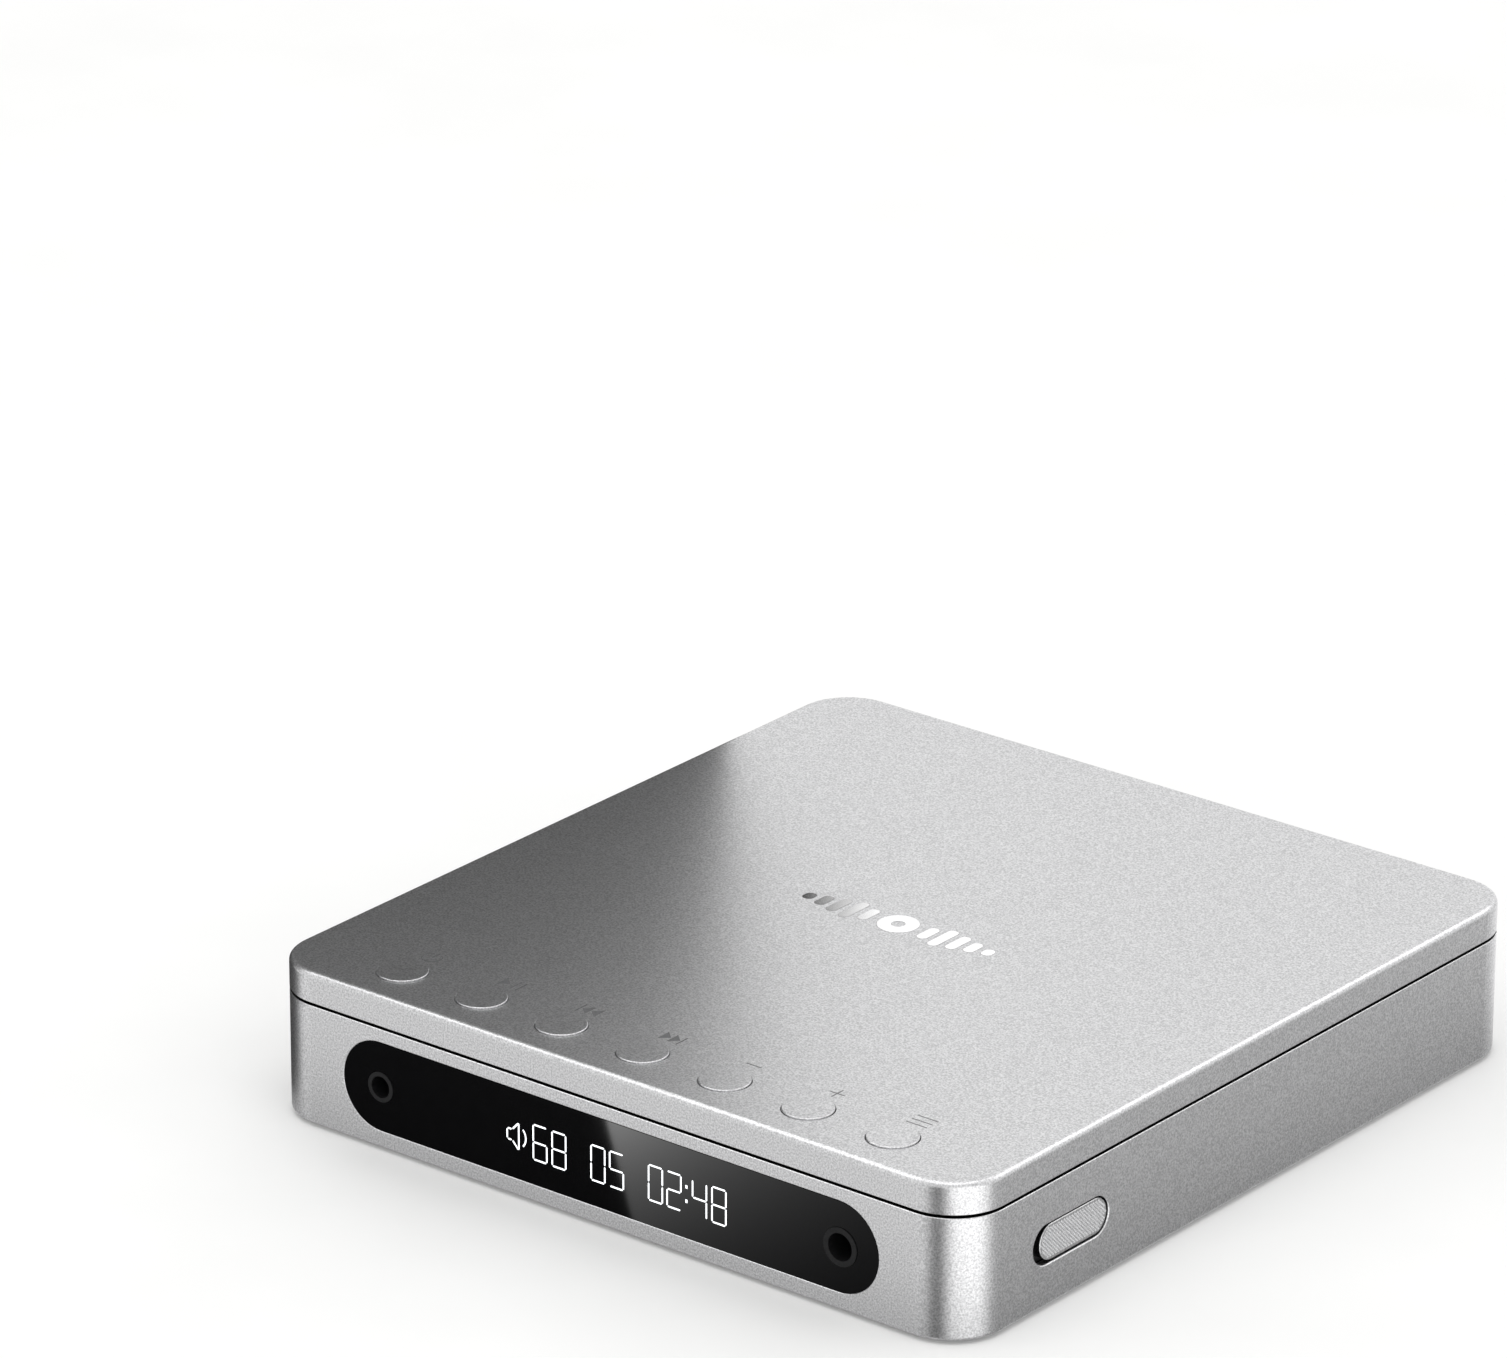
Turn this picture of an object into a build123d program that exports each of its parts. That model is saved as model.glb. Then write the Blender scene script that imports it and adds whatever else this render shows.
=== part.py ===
from build123d import *
import os

# Portable disc player with built-in converter and headphone amplifier.
# Millimetres. Origin: centre of the underside of the feet. +X right, +Y rear, +Z up.
# Every numbered constant below is a driving dimension; the rest is derived.

os.makedirs("parts", exist_ok=True)

# ---- overall -------------------------------------------------------------
W = 137.0            # width
D = 144.0            # depth
BODY_H = 25.7        # underside of the shell to lid top
FOOT = 0.6           # rubber feet stand proud of the underside
CORNER = 9.3         # plan corner radius
WALL = 1.5
FLOOR = 1.2
SEAM = 0.5           # gap between lid and base
SEAM_Z = 20.25       # seam centre above the shell's underside
REAR_DROP = 0.65     # the base rim steps down at the rear so that the lid can turn
EDGE_R = 0.6         # softened lower edge
TOP_R = 0.9          # softened upper edge of the lid
BREAK = 0.1          # broken edges at the seam and round the openings
LID_PLATE = 1.2
GAP = 0.05           # still fit between two pieces of one body
RUN = 0.05           # radial running fit

HX, HY = W / 2, D / 2
Z0 = FOOT
RIM = Z0 + SEAM_Z - SEAM / 2
LID_Z = Z0 + SEAM_Z + SEAM / 2
TOP = Z0 + BODY_H
IN_Z = Z0 + FLOOR
IX, IY = HX - WALL, HY - WALL

# ---- feet, screws, bosses: distances in from the outer faces ----------------
FOOT_R, FOOT_IN_X, FOOT_IN_Y, FOOT_SUNK = 3.2, 6.5, 12.0, 0.6
BOSS_R, BOSS_IN_X, BOSS_IN_Y = 2.0, 7.0, 6.8
SIDE_BOSS_IN, SIDE_BOSS_Y, BACK_BOSS_IN = 4.5, 30.0, 25.0
SCREW_HEAD_R, SCREW_SHANK_R = 1.45, 0.8
FOOT_SPOTS = [("front_left", -1, -1), ("front_right", 1, -1), ("rear_left", -1, 1), ("rear_right", 1, 1)]
SCREW_SPOTS = [(s * x, y) for s in (-1, 1) for x, y in
               ((HX - BOSS_IN_X, -HY + BOSS_IN_Y), (HX - SIDE_BOSS_IN, SIDE_BOSS_Y))]
BACK_BOSSES = [(s * (HX - SIDE_BOSS_IN), HY - BACK_BOSS_IN) for s in (-1, 1)]

# ---- front panel ----------------------------------------------------------
GLASS_L, GLASS_H = 105.0, 15.0
GLASS_Z = Z0 + 10.3
GLASS_T = WALL - 0.15
FJ35_X, FJ44_X = -44.8, 45.4
FJ_Z = GLASS_Z
R35, R44 = 1.8, 2.25            # jack bores
FRING35, FRING44 = 2.5, 3.15    # visible rings, front
RRING35, RRING44 = 2.86, 3.33   # visible rings, rear
DEEP35, DEEP44 = 14.0, 19.5

# ---- rear panel -----------------------------------------------------------
RJ44_X, RJ35_X = 48.7, 35.1
RJ_Z = Z0 + 6.4
USB_X = [20.2, -6.5]
USB_Z = Z0 + 6.2
USB_L, USB_H = 8.94, 3.26
USB_CUT_L, USB_CUT_H = 9.7, 4.0
SW_X = [7.1, -19.8]
SW_Z = Z0 + 6.2
SW_L, SW_H = 5.4, 4.25
SW_KNOB_R = 1.8
SW_END = 0.1                    # gap left at each end of the slot
DOOR_X0, DOOR_X1 = -58.0, -26.6
DOOR_TOP = Z0 + 12.05
DOOR_DEEP = 20.0
DOOR_GAP = 0.15

# ---- right side -----------------------------------------------------------
SLOT_Y, SLOT_Z = -HY + 26.2, Z0 + 10.2
SLOT_L, SLOT_H = 18.7, 6.6
SL_KNOB_L, SL_KNOB_H = 16.55, 5.9
SL_GAP = 0.3
SL_SUNK = 0.2
CATCH_X, CATCH_Y = HX - 4.3, SLOT_Y - 7.2
CATCH_Z, CATCH_T, CATCH_W = 20.7, 1.2, 3.0
HOOK_Y = CATCH_Y + 5.0
LATCH_CLEAR = 0.5

# ---- keys -----------------------------------------------------------------
KEYS = ["power", "play_pause", "previous", "next", "volume_down", "volume_up", "menu"]
KEY_PITCH, KEY_Y, KEY_R = 16.0, -HY + 9.1, 4.05
KEY_PROUD, KEY_GAP, KEY_FLANGE, KEY_FLANGE_T = 0.25, 0.12, 0.8, 0.95
KEY_BREAK = 0.08
KEY_SPOTS = [(KEY_PITCH * (i - (len(KEYS) - 1) / 2), KEY_Y) for i in range(len(KEYS))]

# ---- lid inlay: a disc between two groups of sound bars -----------------------
INLAY_R, INLAY_HOLE_R, INLAY_DEEP = 3.4, 1.15, 0.25
INLAY_BAR_W, INLAY_PITCH, INLAY_START = 1.9, 2.95, 5.9
INLAY_BARS = [(s * (INLAY_START + INLAY_PITCH * k), h) for s in (-1, 1)
              for k, h in enumerate((4.6, 6.8, 5.4, 3.8, 2.4))]

# ---- disc bay -------------------------------------------------------------
BAY_R = 61.5
DECK_TOP = RIM - 0.45
DECK_T = 1.2
BAY_Z = DECK_TOP - 4.2          # bay floor
HUB_HOLE = 14.5
NOTCH_R, NOTCH_Y = 9.0, 59.0
LENS_IN, LENS_OUT = 25.0, 56.0
LENS_W = 23.0

# ---- hinge ----------------------------------------------------------------
PIV_Y, PIV_Z = HY - 6.0, Z0 + 12.0
ARM_X, ARM_W = HX - 7.0, 3.6
EYE_R, PIN_R = 2.5, 1.25
STEM_BACK, STEM_T = -5.2, 3.0

# ---- mechanism ------------------------------------------------------------
CH_Z, CH_T = 7.0, 1.0
ROD_Y, ROD_Z, ROD_R = 15.0, 11.3, 1.5
SCREW_Y, SCREW_R = 20.5, 1.3
SLED_L, SLED_W = 14.0, 36.0
SLED_Z0, SLED_Z1 = 9.3, BAY_Z - DECK_T - 0.4
BOARD_Z, BOARD_T = 3.0, 1.0
BOARD_X0, BOARD_X1 = -24.0, 57.0
BOARD_Y0 = HY - 40.0
BOARD_POSTS = [(-20, HY - 36), (52, HY - 36), (28, HY - 22), (0, HY - 22)]
SL_TRAVEL = SLOT_L - SL_KNOB_L - 2 * SL_GAP
LATCH_Y0 = CATCH_Y - CATCH_W / 2 - SL_TRAVEL - LATCH_CLEAR
LATCH_Y1 = HOOK_Y + 3.9
BOARD_BACK = 1.2                # board edge to the rear wall's inside
FRONT_BOARD_Y, FRONT_BOARD_T = 1.3, 0.8


# ================= base body ===============================================

# base shell: aluminium tub, open at the top, with the windows for all sockets
with BuildPart() as base_shell:
    with BuildSketch(Plane.XY.offset(Z0)):
        RectangleRounded(W, D, CORNER)
    extrude(amount=RIM - Z0)
    fillet(base_shell.faces().sort_by(Axis.Z)[0].edges(), EDGE_R)
    chamfer(base_shell.faces().sort_by(Axis.Z)[-1].edges(), BREAK)
    with BuildSketch(Plane.XY.offset(IN_Z)):
        RectangleRounded(2 * IX, 2 * IY, CORNER - WALL)
    extrude(amount=TOP, mode=Mode.SUBTRACT)
    # the rear rim slopes down inside the corner arcs
    with BuildSketch(Plane.YZ.offset(-HX - 1)):
        with BuildLine():
            Polyline((HY - 5, RIM), (HY - 2, RIM - REAR_DROP), (HY + 1, RIM - REAR_DROP),
                     (HY + 1, RIM + 1), (HY - 5, RIM + 1), close=True)
        make_face()
    extrude(amount=W + 2, mode=Mode.SUBTRACT)
    # front window
    with BuildSketch(Plane.XZ.offset(HY + 1)):
        with Locations((0.1, GLASS_Z)):
            SlotOverall(GLASS_L, GLASS_H)
    extrude(amount=-(WALL + 2), mode=Mode.SUBTRACT)
    # rear sockets, switches
    with BuildSketch(Plane.XZ.offset(-HY - 1)):
        with Locations((RJ44_X, RJ_Z)):
            Circle(RRING44 + GAP)
        with Locations((RJ35_X, RJ_Z)):
            Circle(RRING35 + GAP)
        with Locations(*[(x, USB_Z) for x in USB_X]):
            SlotOverall(USB_CUT_L, USB_CUT_H)
        with Locations(*[(x, SW_Z) for x in SW_X]):
            SlotOverall(SW_L, SW_H)
    extrude(amount=WALL + 2, mode=Mode.SUBTRACT)
    # battery door opening: rear wall and floor
    with BuildSketch(Plane.XZ.offset(-HY - 1)):
        with Locations(((DOOR_X0 + DOOR_X1) / 2, (DOOR_TOP - 3) / 2)):
            RectangleRounded(DOOR_X1 - DOOR_X0, DOOR_TOP + 3, 1.0)
    extrude(amount=WALL + 2, mode=Mode.SUBTRACT)
    with Locations(((DOOR_X0 + DOOR_X1) / 2, HY - DOOR_DEEP / 2 + 0.5, Z0)):
        Box(DOOR_X1 - DOOR_X0, DOOR_DEEP + 1, 2 * FLOOR + 0.2, mode=Mode.SUBTRACT)
    # release slot
    with BuildSketch(Plane.YZ.offset(HX + 1)):
        with Locations((SLOT_Y, SLOT_Z)):
            SlotOverall(SLOT_L, SLOT_H)
    extrude(amount=-(WALL + 2), mode=Mode.SUBTRACT)
    # recesses for the feet
    with BuildSketch(Plane.XY.offset(Z0 - 1)):
        with Locations(*[(sx * (HX - FOOT_IN_X), sy * (HY - FOOT_IN_Y)) for _, sx, sy in FOOT_SPOTS]):
            Circle(FOOT_R + GAP)
    extrude(amount=1 + FOOT_SUNK, mode=Mode.SUBTRACT)
    # broken edges round the window, the release slot and the rim
    chamfer(base_shell.edges().filter_by_position(Axis.Y, -HY - 0.01, -HY + 0.01)
            .filter_by_position(Axis.X, -GLASS_L / 2 - 1, GLASS_L / 2 + 1)
            .filter_by_position(Axis.Z, GLASS_Z - GLASS_H / 2 - 0.1, GLASS_Z + GLASS_H / 2 + 0.1), BREAK)
    chamfer(base_shell.edges().filter_by_position(Axis.X, HX - 0.01, HX + 0.01)
            .filter_by_position(Axis.Y, SLOT_Y - SLOT_L / 2 - 0.1, SLOT_Y + SLOT_L / 2 + 0.1)
            .filter_by_position(Axis.Z, SLOT_Z - SLOT_H / 2 - 0.1, SLOT_Z + SLOT_H / 2 + 0.1), 1.5 * BREAK)
    # deck bosses and board posts
    with BuildSketch(Plane.XY.offset(IN_Z - 0.2)):
        with Locations(*SCREW_SPOTS, *BACK_BOSSES):
            Circle(BOSS_R)
    extrude(amount=DECK_TOP - DECK_T - 0.02 - IN_Z + 0.2)
    with BuildSketch(Plane.XY.offset(IN_Z - 0.2)):
        with Locations(*BOARD_POSTS):
            Circle(1.8)
    extrude(amount=BOARD_Z - 0.02 - IN_Z + 0.2)
    # screw holes up into the front and middle bosses
    with BuildSketch(Plane.XY.offset(Z0 - 1)):
        with Locations(*SCREW_SPOTS):
            Circle(SCREW_SHANK_R + GAP)
    extrude(amount=9, mode=Mode.SUBTRACT)
    with BuildSketch(Plane.XY.offset(Z0 - 1)):
        with Locations(*SCREW_SPOTS):
            Circle(SCREW_HEAD_R + 2 * GAP)
    extrude(amount=1.7, mode=Mode.SUBTRACT)
base_shell.part.label = "base_shell"
export_step(base_shell.part, "parts/base_shell.step")

# base screws: four small pan screws from below, sunk flush
with BuildPart() as base_screws:
    with BuildSketch(Plane.XY.offset(Z0 + 0.1)):
        with Locations(*SCREW_SPOTS):
            Circle(SCREW_HEAD_R)
    extrude(amount=0.55)
    with BuildSketch(Plane.XY.offset(Z0 + 0.6)):
        with Locations(*SCREW_SPOTS):
            Circle(SCREW_SHANK_R)
    extrude(amount=6)
    with BuildSketch(Plane.XY.offset(Z0)):
        with Locations(*SCREW_SPOTS):
            Rectangle(1.5, 0.35)
            Rectangle(0.35, 1.5)
    extrude(amount=0.4, mode=Mode.SUBTRACT)
base_screws.part.label = "base_screws"
export_step(base_screws.part, "parts/base_screws.step")

# rubber feet
for name, sx, sy in FOOT_SPOTS:
    with BuildPart() as foot:
        with BuildSketch(Plane.XY):
            with Locations((sx * (HX - FOOT_IN_X), sy * (HY - FOOT_IN_Y))):
                Circle(FOOT_R)
        extrude(amount=Z0 + FOOT_SUNK - 0.02)
        fillet(foot.faces().sort_by(Axis.Z)[0].edges(), 0.3)
    foot.part.label = "foot_" + name
    export_step(foot.part, "parts/foot_" + name + ".step")

# deck: black plastic tray with the disc bay, the hub hole and the lens window
with BuildPart() as deck:
    with BuildSketch(Plane.XY.offset(DECK_TOP - DECK_T)):
        RectangleRounded(2 * IX - 0.4, 2 * IY - 0.4, CORNER - WALL - 0.2)
    extrude(amount=DECK_T)
    with BuildSketch(Plane.XY.offset(BAY_Z - DECK_T)):
        Circle(BAY_R + DECK_T)
        with Locations((0, NOTCH_Y), (0, -NOTCH_Y)):
            Circle(NOTCH_R + DECK_T)
    extrude(amount=DECK_TOP - BAY_Z + DECK_T - 0.1)
    with BuildSketch(Plane.XY.offset(BAY_Z)):
        Circle(BAY_R)
        with Locations((0, NOTCH_Y), (0, -NOTCH_Y)):
            Circle(NOTCH_R)
    extrude(amount=10, mode=Mode.SUBTRACT)
    # a low ring keeps the disc's data area off the floor
    with BuildSketch(Plane.XY.offset(BAY_Z)):
        Circle(BAY_R - 0.3)
        Circle(BAY_R - 2.0, mode=Mode.SUBTRACT)
    extrude(amount=0.4)
    with BuildSketch(Plane.XY.offset(BAY_Z - 2 * DECK_T)):
        Circle(HUB_HOLE)
        with Locations(((LENS_OUT + 3.6) / 2, 0)):
            Rectangle(LENS_OUT + 3.6, LENS_W)
    extrude(amount=3 * DECK_T, mode=Mode.SUBTRACT)
    # notches for the hinge arms and the latch
    for s in (-1, 1):
        with Locations((s * ARM_X, PIV_Y - 0.5, DECK_TOP)):
            Box(ARM_W + 1.2, 2 * 9.4, 6, mode=Mode.SUBTRACT)
    with Locations((CATCH_X + 0.4, (LATCH_Y0 + LATCH_Y1) / 2, DECK_TOP)):
        Box(5.0, LATCH_Y1 - LATCH_Y0, 6, mode=Mode.SUBTRACT)
deck.part.label = "deck"
export_step(deck.part, "parts/deck.step")

# display glass: one glossy black lens along the front
with BuildPart() as display_glass:
    with BuildSketch(Plane.XZ.offset(HY - 0.03)):
        with Locations((0.1, GLASS_Z)):
            SlotOverall(GLASS_L - 2 * GAP, GLASS_H - 2 * GAP)
        with Locations((FJ35_X, FJ_Z)):
            Circle(FRING35 + GAP, mode=Mode.SUBTRACT)
        with Locations((FJ44_X, FJ_Z)):
            Circle(FRING44 + GAP, mode=Mode.SUBTRACT)
    extrude(amount=-GLASS_T)
display_glass.part.label = "display_glass"
export_step(display_glass.part, "parts/display_glass.step")

# display board with its segment module
with BuildPart() as display_board:
    with Locations((0, -IY + FRONT_BOARD_Y, GLASS_Z - 1.9)):
        Box(GLASS_L - 2.0, FRONT_BOARD_T, 11.0)
    with BuildSketch(Plane.XZ.offset(IY)):
        with Locations((FJ35_X, FJ_Z)):
            Circle(R35 + 0.45 + GAP)
        with Locations((FJ44_X, FJ_Z)):
            Circle(R44 + 0.45 + GAP)
    extrude(amount=-3, mode=Mode.SUBTRACT)
display_board.part.label = "display_board"
export_step(display_board.part, "parts/display_board.step")

with BuildPart() as display_module:
    with Locations((3, -IY + 0.47, GLASS_Z)):
        Box(50, 0.78, 8.4)
display_module.part.label = "display_module"
export_step(display_module.part, "parts/display_module.step")

# four jack barrels: side -1 faces the front, +1 faces the rear
jacks = [("headphone_jack_35", FJ35_X, FJ_Z, FRING35, R35, DEEP35, -1),
         ("headphone_jack_44", FJ44_X, FJ_Z, FRING44, R44, DEEP44, -1),
         ("line_jack_35", RJ35_X, RJ_Z, RRING35, R35, DEEP35, 1),
         ("line_jack_44", RJ44_X, RJ_Z, RRING44, R44, DEEP44, 1)]
for name, x, z, ring, bore, deep, side in jacks:
    with BuildPart() as jack:
        with BuildSketch(Plane.XZ.offset(-side * (HY + 0.12))):
            with Locations((x, z)):
                Circle(ring)
                Circle(bore, mode=Mode.SUBTRACT)
        extrude(amount=side * 2.0)
        with BuildSketch(Plane.XZ.offset(-side * (HY - 1.5))):
            with Locations((x, z)):
                Circle(bore + 0.45)
                Circle(bore, mode=Mode.SUBTRACT)
        extrude(amount=side * (deep - 1.5))
    jack.part.label = name
    export_step(jack.part, "parts/" + name + ".step")

# jack housings: black moulded bodies behind the barrels
HOUSING_TOP = 3.5
for name, x, z, ring, bore, deep, side in jacks:
    start = HY - 2.0
    low = BOARD_Z + BOARD_T + 0.02
    if side < 0:
        start = IY - FRONT_BOARD_Y - FRONT_BOARD_T / 2 - 0.02
        low = z - 2.9
    with BuildPart() as housing:
        with Locations((x, side * (start - (deep - 1.0) / 2), (low + z + HOUSING_TOP) / 2)):
            Box(2 * bore + 4.0, deep - 1.0, z + HOUSING_TOP - low)
        with BuildSketch(Plane.XZ.offset(-side * HY)):
            with Locations((x, z)):
                Circle(bore + 0.45 + GAP)
        extrude(amount=side * (deep + 0.2), mode=Mode.SUBTRACT)
    label = name.replace("jack", "housing")
    housing.part.label = label
    export_step(housing.part, "parts/" + label + ".step")

# two identical reversible data sockets
for i, x in enumerate(USB_X):
    label = ["usb_socket_data", "usb_socket_power"][i]
    with BuildPart() as usb:
        with BuildSketch(Plane.XZ.offset(-(HY - 0.35))):
            with Locations((x, USB_Z)):
                SlotOverall(USB_L, USB_H)
                SlotOverall(USB_L - 0.6, USB_H - 0.6, mode=Mode.SUBTRACT)
        extrude(amount=7.0)
        with BuildSketch(Plane.XZ.offset(-(HY - 7.0))):
            with Locations((x, USB_Z)):
                SlotOverall(USB_L, USB_H)
        extrude(amount=0.6)
        with Locations((x, HY - 4.4, USB_Z)):
            Box(6.7, 6.0, 0.7)
        for s in (-1, 1):
            with Locations((x + s * (USB_L / 2 - 0.4), HY - 5.0, (BOARD_Z + BOARD_T + USB_Z) / 2 + 0.01)):
                Box(0.5, 1.6, USB_Z - BOARD_Z - BOARD_T - 0.02)
    usb.part.label = label
    export_step(usb.part, "parts/" + label + ".step")

# slide switches: a body on the board and a round knob through the wall
SW_TRAVEL = SW_L - 2 * SW_KNOB_R - 2 * SW_END
for i, x in enumerate(SW_X):
    label = ["switch_body_gain", "switch_body_power"][i]
    z_low = BOARD_Z + BOARD_T + 0.02
    with BuildPart() as body:
        with Locations((x, IY - 2.0, (z_low + SW_Z + 2.4) / 2)):
            Box(9.0, 3.6, SW_Z + 2.4 - z_low)
        with Locations((x, IY - 0.2, SW_Z)):
            Box(2 * (1.0 + SW_TRAVEL / 2 + 0.4), 3.0, 2.4, mode=Mode.SUBTRACT)
    body.part.label = label
    export_step(body.part, "parts/" + label + ".step")
    label = ["switch_knob_gain", "switch_knob_power"][i]
    with BuildPart() as knob:
        with BuildSketch(Plane.XZ.offset(-(HY + 0.45))):
            with Locations((x + SW_TRAVEL / 2, SW_Z)):
                Circle(SW_KNOB_R)
        extrude(amount=0.45 + WALL + 0.05)
        fillet(knob.faces().sort_by(Axis.Y)[-1].edges(), 0.2)
        with Locations((x + SW_TRAVEL / 2, IY - 0.8, SW_Z)):
            Box(2.0, 1.5, 1.6)
    knob.part.label = label
    export_step(knob.part, "parts/" + label + ".step")

# main board with its parts
with BuildPart() as main_board:
    with Locations(((BOARD_X0 + BOARD_X1) / 2, (BOARD_Y0 + IY - BOARD_BACK) / 2, BOARD_Z + BOARD_T / 2)):
        Box(BOARD_X1 - BOARD_X0, IY - BOARD_BACK - BOARD_Y0, BOARD_T)
    with BuildSketch(Plane.XY.offset(BOARD_Z - 1)):
        with Locations(*BOARD_POSTS):
            Circle(0.8)
    extrude(amount=3, mode=Mode.SUBTRACT)
main_board.part.label = "main_board"
export_step(main_board.part, "parts/main_board.step")

with BuildPart() as board_chips:
    for x, back, a, b, h in [(8, 30, 10, 10, 1.2), (24, 30, 7, 7, 0.9), (36, 29, 5, 5, 0.9),
                             (-10, 29, 8, 6, 1.0), (40, 36.5, 4, 5, 1.2), (-14, 17, 6, 4, 1.1),
                             (13, 16, 5, 4, 0.9)]:
        with Locations((x, HY - back, BOARD_Z + BOARD_T + 0.02 + h / 2)):
            Box(a, b, h)
board_chips.part.label = "board_chips"
export_step(board_chips.part, "parts/board_chips.step")

with BuildPart() as board_capacitors:
    with BuildSketch(Plane.XY.offset(BOARD_Z + BOARD_T + 0.02)):
        with Locations(*[(x, HY - back) for x, back in
                         ((46, 30), (52, 30), (-18, 26), (-20, 10), (28, 14), (28, 7.5))]):
            Circle(2.4)
    extrude(amount=5.2)
board_capacitors.part.label = "board_capacitors"
export_step(board_capacitors.part, "parts/board_capacitors.step")

# battery contacts, fixed at the inner end of the battery's bay
BAT_X = (DOOR_X0 + DOOR_X1) / 2
BAT_W = DOOR_X1 - DOOR_X0 - 1.2
BAT_L, BAT_H = 54.0, 9.4
with BuildPart() as battery_contacts:
    with Locations((BAT_X, IY - BAT_L - 3.4, IN_Z + 4.0)):
        Box(20, 2.0, 8.0 - 0.04)
    with Locations(*[(BAT_X + dx, IY - BAT_L - 1.8, IN_Z + 4.4) for dx in (-6, -2, 2, 6)]):
        Box(1.6, 1.4, 3.0)
battery_contacts.part.label = "battery_contacts"
export_step(battery_contacts.part, "parts/battery_contacts.step")

# hinge brackets and pins
for label, s in [("left", -1), ("right", 1)]:
    with BuildPart() as bracket:
        x_in = ARM_X - ARM_W / 2 - 0.3 - 1.2
        with BuildSketch(Plane.YZ.offset(s * x_in)):
            with Locations((PIV_Y, PIV_Z)):
                Circle(EYE_R)
            with Locations((PIV_Y, (IN_Z + PIV_Z) / 2)):
                Rectangle(2 * EYE_R, PIV_Z - IN_Z - 0.04)
            with Locations((PIV_Y, PIV_Z)):
                Circle(PIN_R + 0.02, mode=Mode.SUBTRACT)
        extrude(amount=s * 1.2)
        with Locations((s * (x_in + 3.0), PIV_Y - 1.5, IN_Z + 0.52)):
            Box(6.0, 2 * EYE_R - 0.6, 1.0)
    bracket.part.label = "hinge_bracket_" + label
    export_step(bracket.part, "parts/hinge_bracket_" + label + ".step")
    with BuildPart() as pin:
        with BuildSketch(Plane.YZ.offset(s * (x_in + 0.1))):
            with Locations((PIV_Y, PIV_Z)):
                Circle(PIN_R)
        extrude(amount=s * (1.2 + 0.3 + ARM_W + 0.3))
    pin.part.label = "hinge_pin_" + label
    export_step(pin.part, "parts/hinge_pin_" + label + ".step")

# ================= disc drive ==============================================

# pressed steel chassis on four rubber dampers
with BuildPart() as drive_chassis:
    with Locations((21, 0, CH_Z + CH_T / 2)):
        Box(90, 52, CH_T)
    with Locations((41, 0, CH_Z + CH_T / 2)):
        Box(40, 20, 2 * CH_T, mode=Mode.SUBTRACT)
    for x in (13.0, 64.6):
        for y in (-ROD_Y, ROD_Y):
            with Locations((x, y, (CH_Z + ROD_Z + 2.4) / 2)):
                Box(1.4, 5.0, ROD_Z + 2.4 - CH_Z)
    with Locations((64.6, SCREW_Y, (CH_Z + ROD_Z + 2.4) / 2)):
        Box(1.4, 5.0, ROD_Z + 2.4 - CH_Z)
    with BuildSketch(Plane.YZ.offset(10)):
        with Locations((-ROD_Y, ROD_Z), (ROD_Y, ROD_Z)):
            Circle(ROD_R + 0.02)
    extrude(amount=56, mode=Mode.SUBTRACT)
    with BuildSketch(Plane.YZ.offset(60)):
        with Locations((SCREW_Y, ROD_Z)):
            Circle(0.6 + RUN)
    extrude(amount=6, mode=Mode.SUBTRACT)
    with BuildSketch(Plane.XY.offset(CH_Z - 1)):
        with Locations((-20, -22), (-20, 22), (60, -22), (60, 22)):
            Circle(1.6)
    extrude(amount=1.0 + CH_T + 1, mode=Mode.SUBTRACT)
drive_chassis.part.label = "drive_chassis"
export_step(drive_chassis.part, "parts/drive_chassis.step")

with BuildPart() as dampers:
    with BuildSketch(Plane.XY.offset(IN_Z + 0.02)):
        with Locations((-20, -22), (-20, 22), (60, -22), (60, 22)):
            Circle(3.6)
    extrude(amount=CH_Z - IN_Z - 0.04)
    with BuildSketch(Plane.XY.offset(CH_Z - 0.5)):
        with Locations((-20, -22), (-20, 22), (60, -22), (60, 22)):
            Circle(1.55)
    extrude(amount=CH_T + 1.0)
dampers.part.label = "dampers"
export_step(dampers.part, "parts/dampers.step")

with BuildPart() as spindle_motor:
    with BuildSketch(Plane.XY.offset(CH_Z + CH_T + 0.02)):
        Circle(10.0)
    extrude(amount=4.8)
    fillet(spindle_motor.faces().sort_by(Axis.Z)[-1].edges(), 0.5)
    with BuildSketch(Plane.XY.offset(CH_Z + CH_T + 1)):
        Circle(1.0)
    extrude(amount=9.6)
spindle_motor.part.label = "spindle_motor"
export_step(spindle_motor.part, "parts/spindle_motor.step")

DISC_Z = BAY_Z + 1.2
BALL_R, BALL_RING = 0.95, 6.8
with BuildPart() as turntable_hub:
    with BuildSketch(Plane.XY.offset(CH_Z + CH_T + 5.2)):
        Circle(5.0)
    extrude(amount=DISC_Z - CH_Z - CH_T - 5.2)
    with BuildSketch(Plane.XY.offset(DISC_Z - 1.8)):
        Circle(HUB_HOLE - 1.0)
    extrude(amount=1.8)
    with BuildSketch(Plane.XY.offset(DISC_Z - 0.1)):
        Circle(7.4)
    extrude(amount=2.3)
    fillet(turntable_hub.faces().sort_by(Axis.Z)[-1].edges(), 0.8)
    # running bore for the motor shaft, and three sockets for the grip balls
    with BuildSketch(Plane.XY.offset(CH_Z)):
        Circle(1.0 + RUN)
    extrude(amount=12.2, mode=Mode.SUBTRACT)
    for spot in PolarLocations(BALL_RING, 3, start_angle=90):
        with Locations((spot.position.X, spot.position.Y, DISC_Z + 1.1)):
            Cylinder(BALL_R + GAP, 2 * (BALL_R + GAP), mode=Mode.SUBTRACT)
turntable_hub.part.label = "turntable_hub"
export_step(turntable_hub.part, "parts/turntable_hub.step")

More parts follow.
